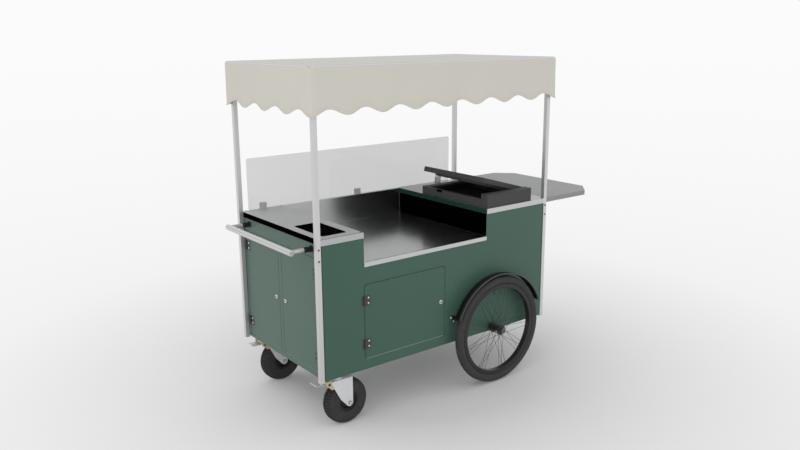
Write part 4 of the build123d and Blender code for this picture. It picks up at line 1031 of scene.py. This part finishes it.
def add_caster_tyre(name, centre, outer, half, wheel, rubber):
    """A fat tyre with staggered lugs over the crown and shoulders."""
    bead, lip, shoulder = outer - 0.075, 0.002, 0.0315
    wall = (outer - shoulder - bead - lip) * 0.99
    seat, seat_depth = bead + 0.012, 0.004
    line, line_height = (bead + 0.02, bead + 0.024), 0.0004
    lugs_from, lugs_full = radians(40), radians(55)
    middle, lug_steps, gap_steps = 0.003, 6, 2
    crown = half - shoulder
    side = [(bead + lip + wall * j / 8, half, 0.0) for j in range(9)]
    for a in (pi / 2 * j / 12 for j in range(13)):
        radius = outer - shoulder + shoulder * sin(a)
        side.append((radius, crown + shoulder * cos(a), a))
    outline = side + [(outer, crown - 2 * crown * j / 8, pi / 2) for j in range(1, 8)]
    outline += [(r, -y, slope) for r, y, slope in reversed(side)]
    outline += [(bead, -half * 0.72, None), (bead, half * 0.72, None)]
    verts, gaps = [], []
    for i, turn in enumerate(circle(wheel.lugs * lug_steps)):
        for r, y, slope in outline:
            tilt, depth = slope or 0.0, 0.0
            if tilt > lugs_from:
                stagger = 0 if y > middle else lug_steps // 2
                if (i + stagger) % lug_steps < gap_steps or abs(y) < middle:
                    depth = wheel.lug * (0.6 if tilt < lugs_full else 1.0)
            elif slope == 0 and r < seat:
                depth = seat_depth
            elif slope == 0 and line[0] < r < line[1]:
                depth = -line_height
            gaps.append(1.0 if tilt and depth > 0 else 0.0)
            level = y - (1 if y > 0 else -1) * depth * cos(tilt)
            verts.append(centre + wheel_point(r - depth * sin(tilt), turn, level))
    faces = grid_faces(wheel.lugs * lug_steps, len(outline), wrap_rows=True)
    piece = add_piece(name + "_lug_tyre", verts, faces, name + "_wheel", rubber, "tyre_rubber",
                      sharp=38)
    write_values(piece, "lug_gap", gaps)
    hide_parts(name + "_tyre")


class CartCasters(bpy.types.Operator):
    """Mould the caster tyres with their lugs, and finish forks, plates, brackets and pedals"""

    bl_idname = "cart.casters"
    bl_label = "Casters"

    def execute(self, context):
        scene = context.scene
        wheel, paint, metal = scene.cart_wheel, scene.cart_paint, scene.cart_metal
        rubber = rubber_finish("caster_rubber", tone(paint.rubber, 0.82), lugged=True)
        zinc = zinc_finish("fork_zinc", tone(metal.zinc, 1.09), 0.5)
        # Painted shade: the axles take a darker zinc, for the dark ring round the bright stud ends.
        dull = zinc_finish("axle_zinc", tone(metal.zinc, 0.4))
        gold = zinc_finish("bracket_zinc", metal.gold)
        black = plastic_finish("caster_rim_black", tone(paint.black, 1.6), 0.4)
        bolt_circle, bolt_out, pin = 0.033, 0.005, 0.008
        bolt = button_head(5.5, 4.5)
        cap = turned([(7.6, -1), (7.6, 0.6), (6.2, 1.6), (3, 2.1), (0.3, 2.2)], steps=20)
        stud = turned([(5.8, 0), (5.8, 1.2), (4.8, 2.2), (0.3, 2.4)], steps=20)
        for name in ("caster_near", "caster_far"):
            zinc.on(name + "_plate", name + "_fork", name + "_pedal")
            dull.on(name + "_axle")
            gold.on(name + "_bracket")
            black.on(name + "_rim")
            centre, outer, half = tyre_size(name)
            add_caster_tyre(name, centre, outer, half, wheel, rubber)
            spots = [(centre + wheel_point(bolt_circle, pi / 4 + turn, side * bolt_out),
                      (0, side, 0)) for side in (-1, 1) for turn in circle(4)]
            add_copies(name + "_rim_bolts", bolt, spots, name + "_wheel", black, "black_plastic")
            low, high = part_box(name + "_pedal")
            spots = both_ends(low, high, high.x - pin, low.z + pin)
            add_copies(name + "_pin_caps", cap, spots, name + "_brake", black, "black_plastic")
            spots = both_ends(*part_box(name + "_axle"), centre.x, centre.z)
            add_copies(name + "_stud_ends", stud, spots, name, zinc, "zinc_steel")
        return {"FINISHED"}


class CartBox(bpy.types.Operator):
    """Finish the lidded box in bead foam, with its catch"""

    bl_idname = "cart.box"
    bl_label = "Lidded Box"

    def execute(self, context):
        paint = context.scene.cart_paint
        foam_finish(paint).on("box_body", "box_lid")
        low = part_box("box_body")[0]
        black = plastic_finish("catch_plastic", tone(paint.black, 0.1), 0.5, 0.0)
        middle, half = low.y + 0.436, 0.024
        catch = boxed((low.x - 0.004, middle - half, low.z + 0.034),
                      (low.x - 0.0002, middle + half, low.z + 0.049), 0.0012)
        add_piece("box_catch", *catch, "cart", black, "black_plastic", sharp=30)
        return {"FINISHED"}


class CartShelf(bpy.types.Operator):
    """Finish the side shelf, its hinges and its brace"""

    bl_idname = "cart.shelf"
    bl_label = "Side Shelf"

    def execute(self, context):
        metal = context.scene.cart_metal
        steel_finish(tone(metal.steel, 0.55), "shelf_steel", 0.46).on("side_shelf")
        zinc = zinc_finish("shelf_zinc", metal.zinc).on("shelf_end_mounts", "shelf_brace")
        leaf, half_pitch = 0.0025, 0.03
        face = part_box("shelf_end_panel")[1].x + leaf
        spots = [((face, y + shift, SHELF_HINGE_Z), (1, 0, 0)) for y in SHELF_HINGE_Y
                 for shift in (-half_pitch, half_pitch)]
        add_copies("shelf_hinge_screws", button_head(4.2, 1.8), spots, "cart", zinc, "zinc_steel")
        return {"FINISHED"}


# Stage

def add_floor(scene, stage):
    """A pale floor that keeps the shadow near the cart and runs into the white further off; that
    white is darkened towards the cart as a painted shadow.
    """
    f = Finish("floor", roughness=0.9, specular_ior_level=0.0)
    x, y, _ = f.place()
    away = (x * x + y * y) ** 0.5
    faded = ((away - stage.shadow) / stage.fade).limited() ** 0.6
    f.set("Base Color", f.tones(stage.floor, f.grain(30, 3), 0.006))
    # Painted shadow: the white seen on the floor darkens towards the cart, to 0.55 of it close by.
    painted_shadow_reach, painted_shadow_tone, white = 0.55, 0.55, (stage.white,) * 3
    glow = f.blend((painted_shadow_reach / away).limited(), tone(white, 1.0), tone(white, painted_shadow_tone))
    pale = f.node("ShaderNodeEmission", {}, {"Color": glow, "Strength": 1.0})
    lit = Shade(f, f.shader.outputs[0])
    mix = f.node("ShaderNodeMixShader", {}, {0: faded * f.seen(), 1: lit, 2: pale})
    f.feed(f.tree.nodes["Material Output"].inputs["Surface"], mix)
    mesh = bpy.data.meshes.new("floor")
    reach = 400.0
    corners = [(-reach, -reach, 0), (reach, -reach, 0), (reach, reach, 0), (-reach, reach, 0)]
    mesh.from_pydata(corners, [], [(0, 1, 2, 3)])
    mesh.materials.append(f.material)
    floor = bpy.data.objects.new("floor", mesh)
    scene.collection.objects.link(floor)


def add_sky(scene, stage):
    """Even light from all round, seen as white."""
    world = bpy.data.worlds.new("studio")
    scene.world = world
    world.use_nodes = True
    world.node_tree.nodes.clear()
    w = NodeTree(world.node_tree)
    soft, white = (w.node("ShaderNodeBackground", {}, {"Color": (1, 1, 1, 1), "Strength": strength})
                   for strength in (stage.sky, stage.white))
    mix = w.node("ShaderNodeMixShader", {}, {0: w.seen(), 1: soft, 2: white})
    output = world.node_tree.nodes.new("ShaderNodeOutputWorld")
    w.feed(output.inputs["Surface"], mix)


def add_lamp(scene, stage):
    """One large soft lamp beyond the handle, on the near side."""
    place, aim = Vector((-5.2, -3.6, 3.4)), Vector((-0.1, 0.0, 0.8))
    light = bpy.data.lights.new("key_lamp", "AREA")
    light.energy = stage.key
    light.size = 4.0
    lamp = bpy.data.objects.new("key_lamp", light)
    lamp.location = place
    lamp.rotation_euler = (aim - place).to_track_quat("-Z", "Y").to_euler()
    scene.collection.objects.link(lamp)


def add_camera(scene, stage):
    """The camera at its eye point, rolled, tilted down and turned from +Y."""
    turn = Matrix.Rotation(-stage.yaw, 4, "Z") @ Matrix.Rotation(pi / 2 - stage.pitch, 4, "X")
    data = bpy.data.cameras.new("camera")
    data.lens = stage.lens
    data.sensor_width = 36.0
    data.clip_end = 1000.0
    camera = bpy.data.objects.new("camera", data)
    roll = Matrix.Rotation(-stage.roll, 4, "Z")
    camera.matrix_world = Matrix.Translation(Vector(stage.eye)) @ turn @ roll
    scene.collection.objects.link(camera)
    scene.camera = camera


class CartStage(bpy.types.Operator):
    """Set the floor, the light and the camera"""

    bl_idname = "cart.stage"
    bl_label = "Stage"

    def execute(self, context):
        scene = context.scene
        scene.view_settings.view_transform = "Standard"
        for add in (add_floor, add_sky, add_lamp, add_camera):
            add(scene, scene.cart_stage)
        return {"FINISHED"}


STEPS = (
    CartStage, CartCanopy, CartPostsAndRails, CartPanels, CartWorktops, CartHandle, CartGuard,
    CartHinges, CartLargeWheels, CartCasters, CartBox, CartShelf)
SETTINGS = {
    "cart_canopy": CartCanopySettings, "cart_metal": CartMetalSettings,
    "cart_paint": CartPaintSettings, "cart_wheel": CartWheelSettings,
    "cart_stage": CartStageSettings}


class CartPanel(bpy.types.Panel):
    """Sidebar list of the cart's settings and steps"""

    bl_idname = "VIEW3D_PT_cart"
    bl_label = "Vending Cart"
    bl_space_type = "VIEW_3D"
    bl_region_type = "UI"
    bl_category = "Cart"

    def draw(self, context):
        for name, group in SETTINGS.items():
            box = self.layout.box()
            for key in group.__annotations__:
                box.prop(getattr(context.scene, name), key)
        for step in STEPS:
            self.layout.operator(step.bl_idname)


def register():
    for name, group in SETTINGS.items():
        bpy.utils.register_class(group)
        setattr(bpy.types.Scene, name, bpy.props.PointerProperty(type=group))
    for step in STEPS:
        bpy.utils.register_class(step)
    bpy.utils.register_class(CartPanel)


def unregister():
    bpy.utils.unregister_class(CartPanel)
    for step in reversed(STEPS):
        bpy.utils.unregister_class(step)
    for name, group in reversed(list(SETTINGS.items())):
        delattr(bpy.types.Scene, name)
        bpy.utils.unregister_class(group)


def main():
    register()
    for step in STEPS:
        group, name = step.bl_idname.split(".")
        getattr(getattr(bpy.ops, group), name)()


if __name__ == "__main__":
    main()
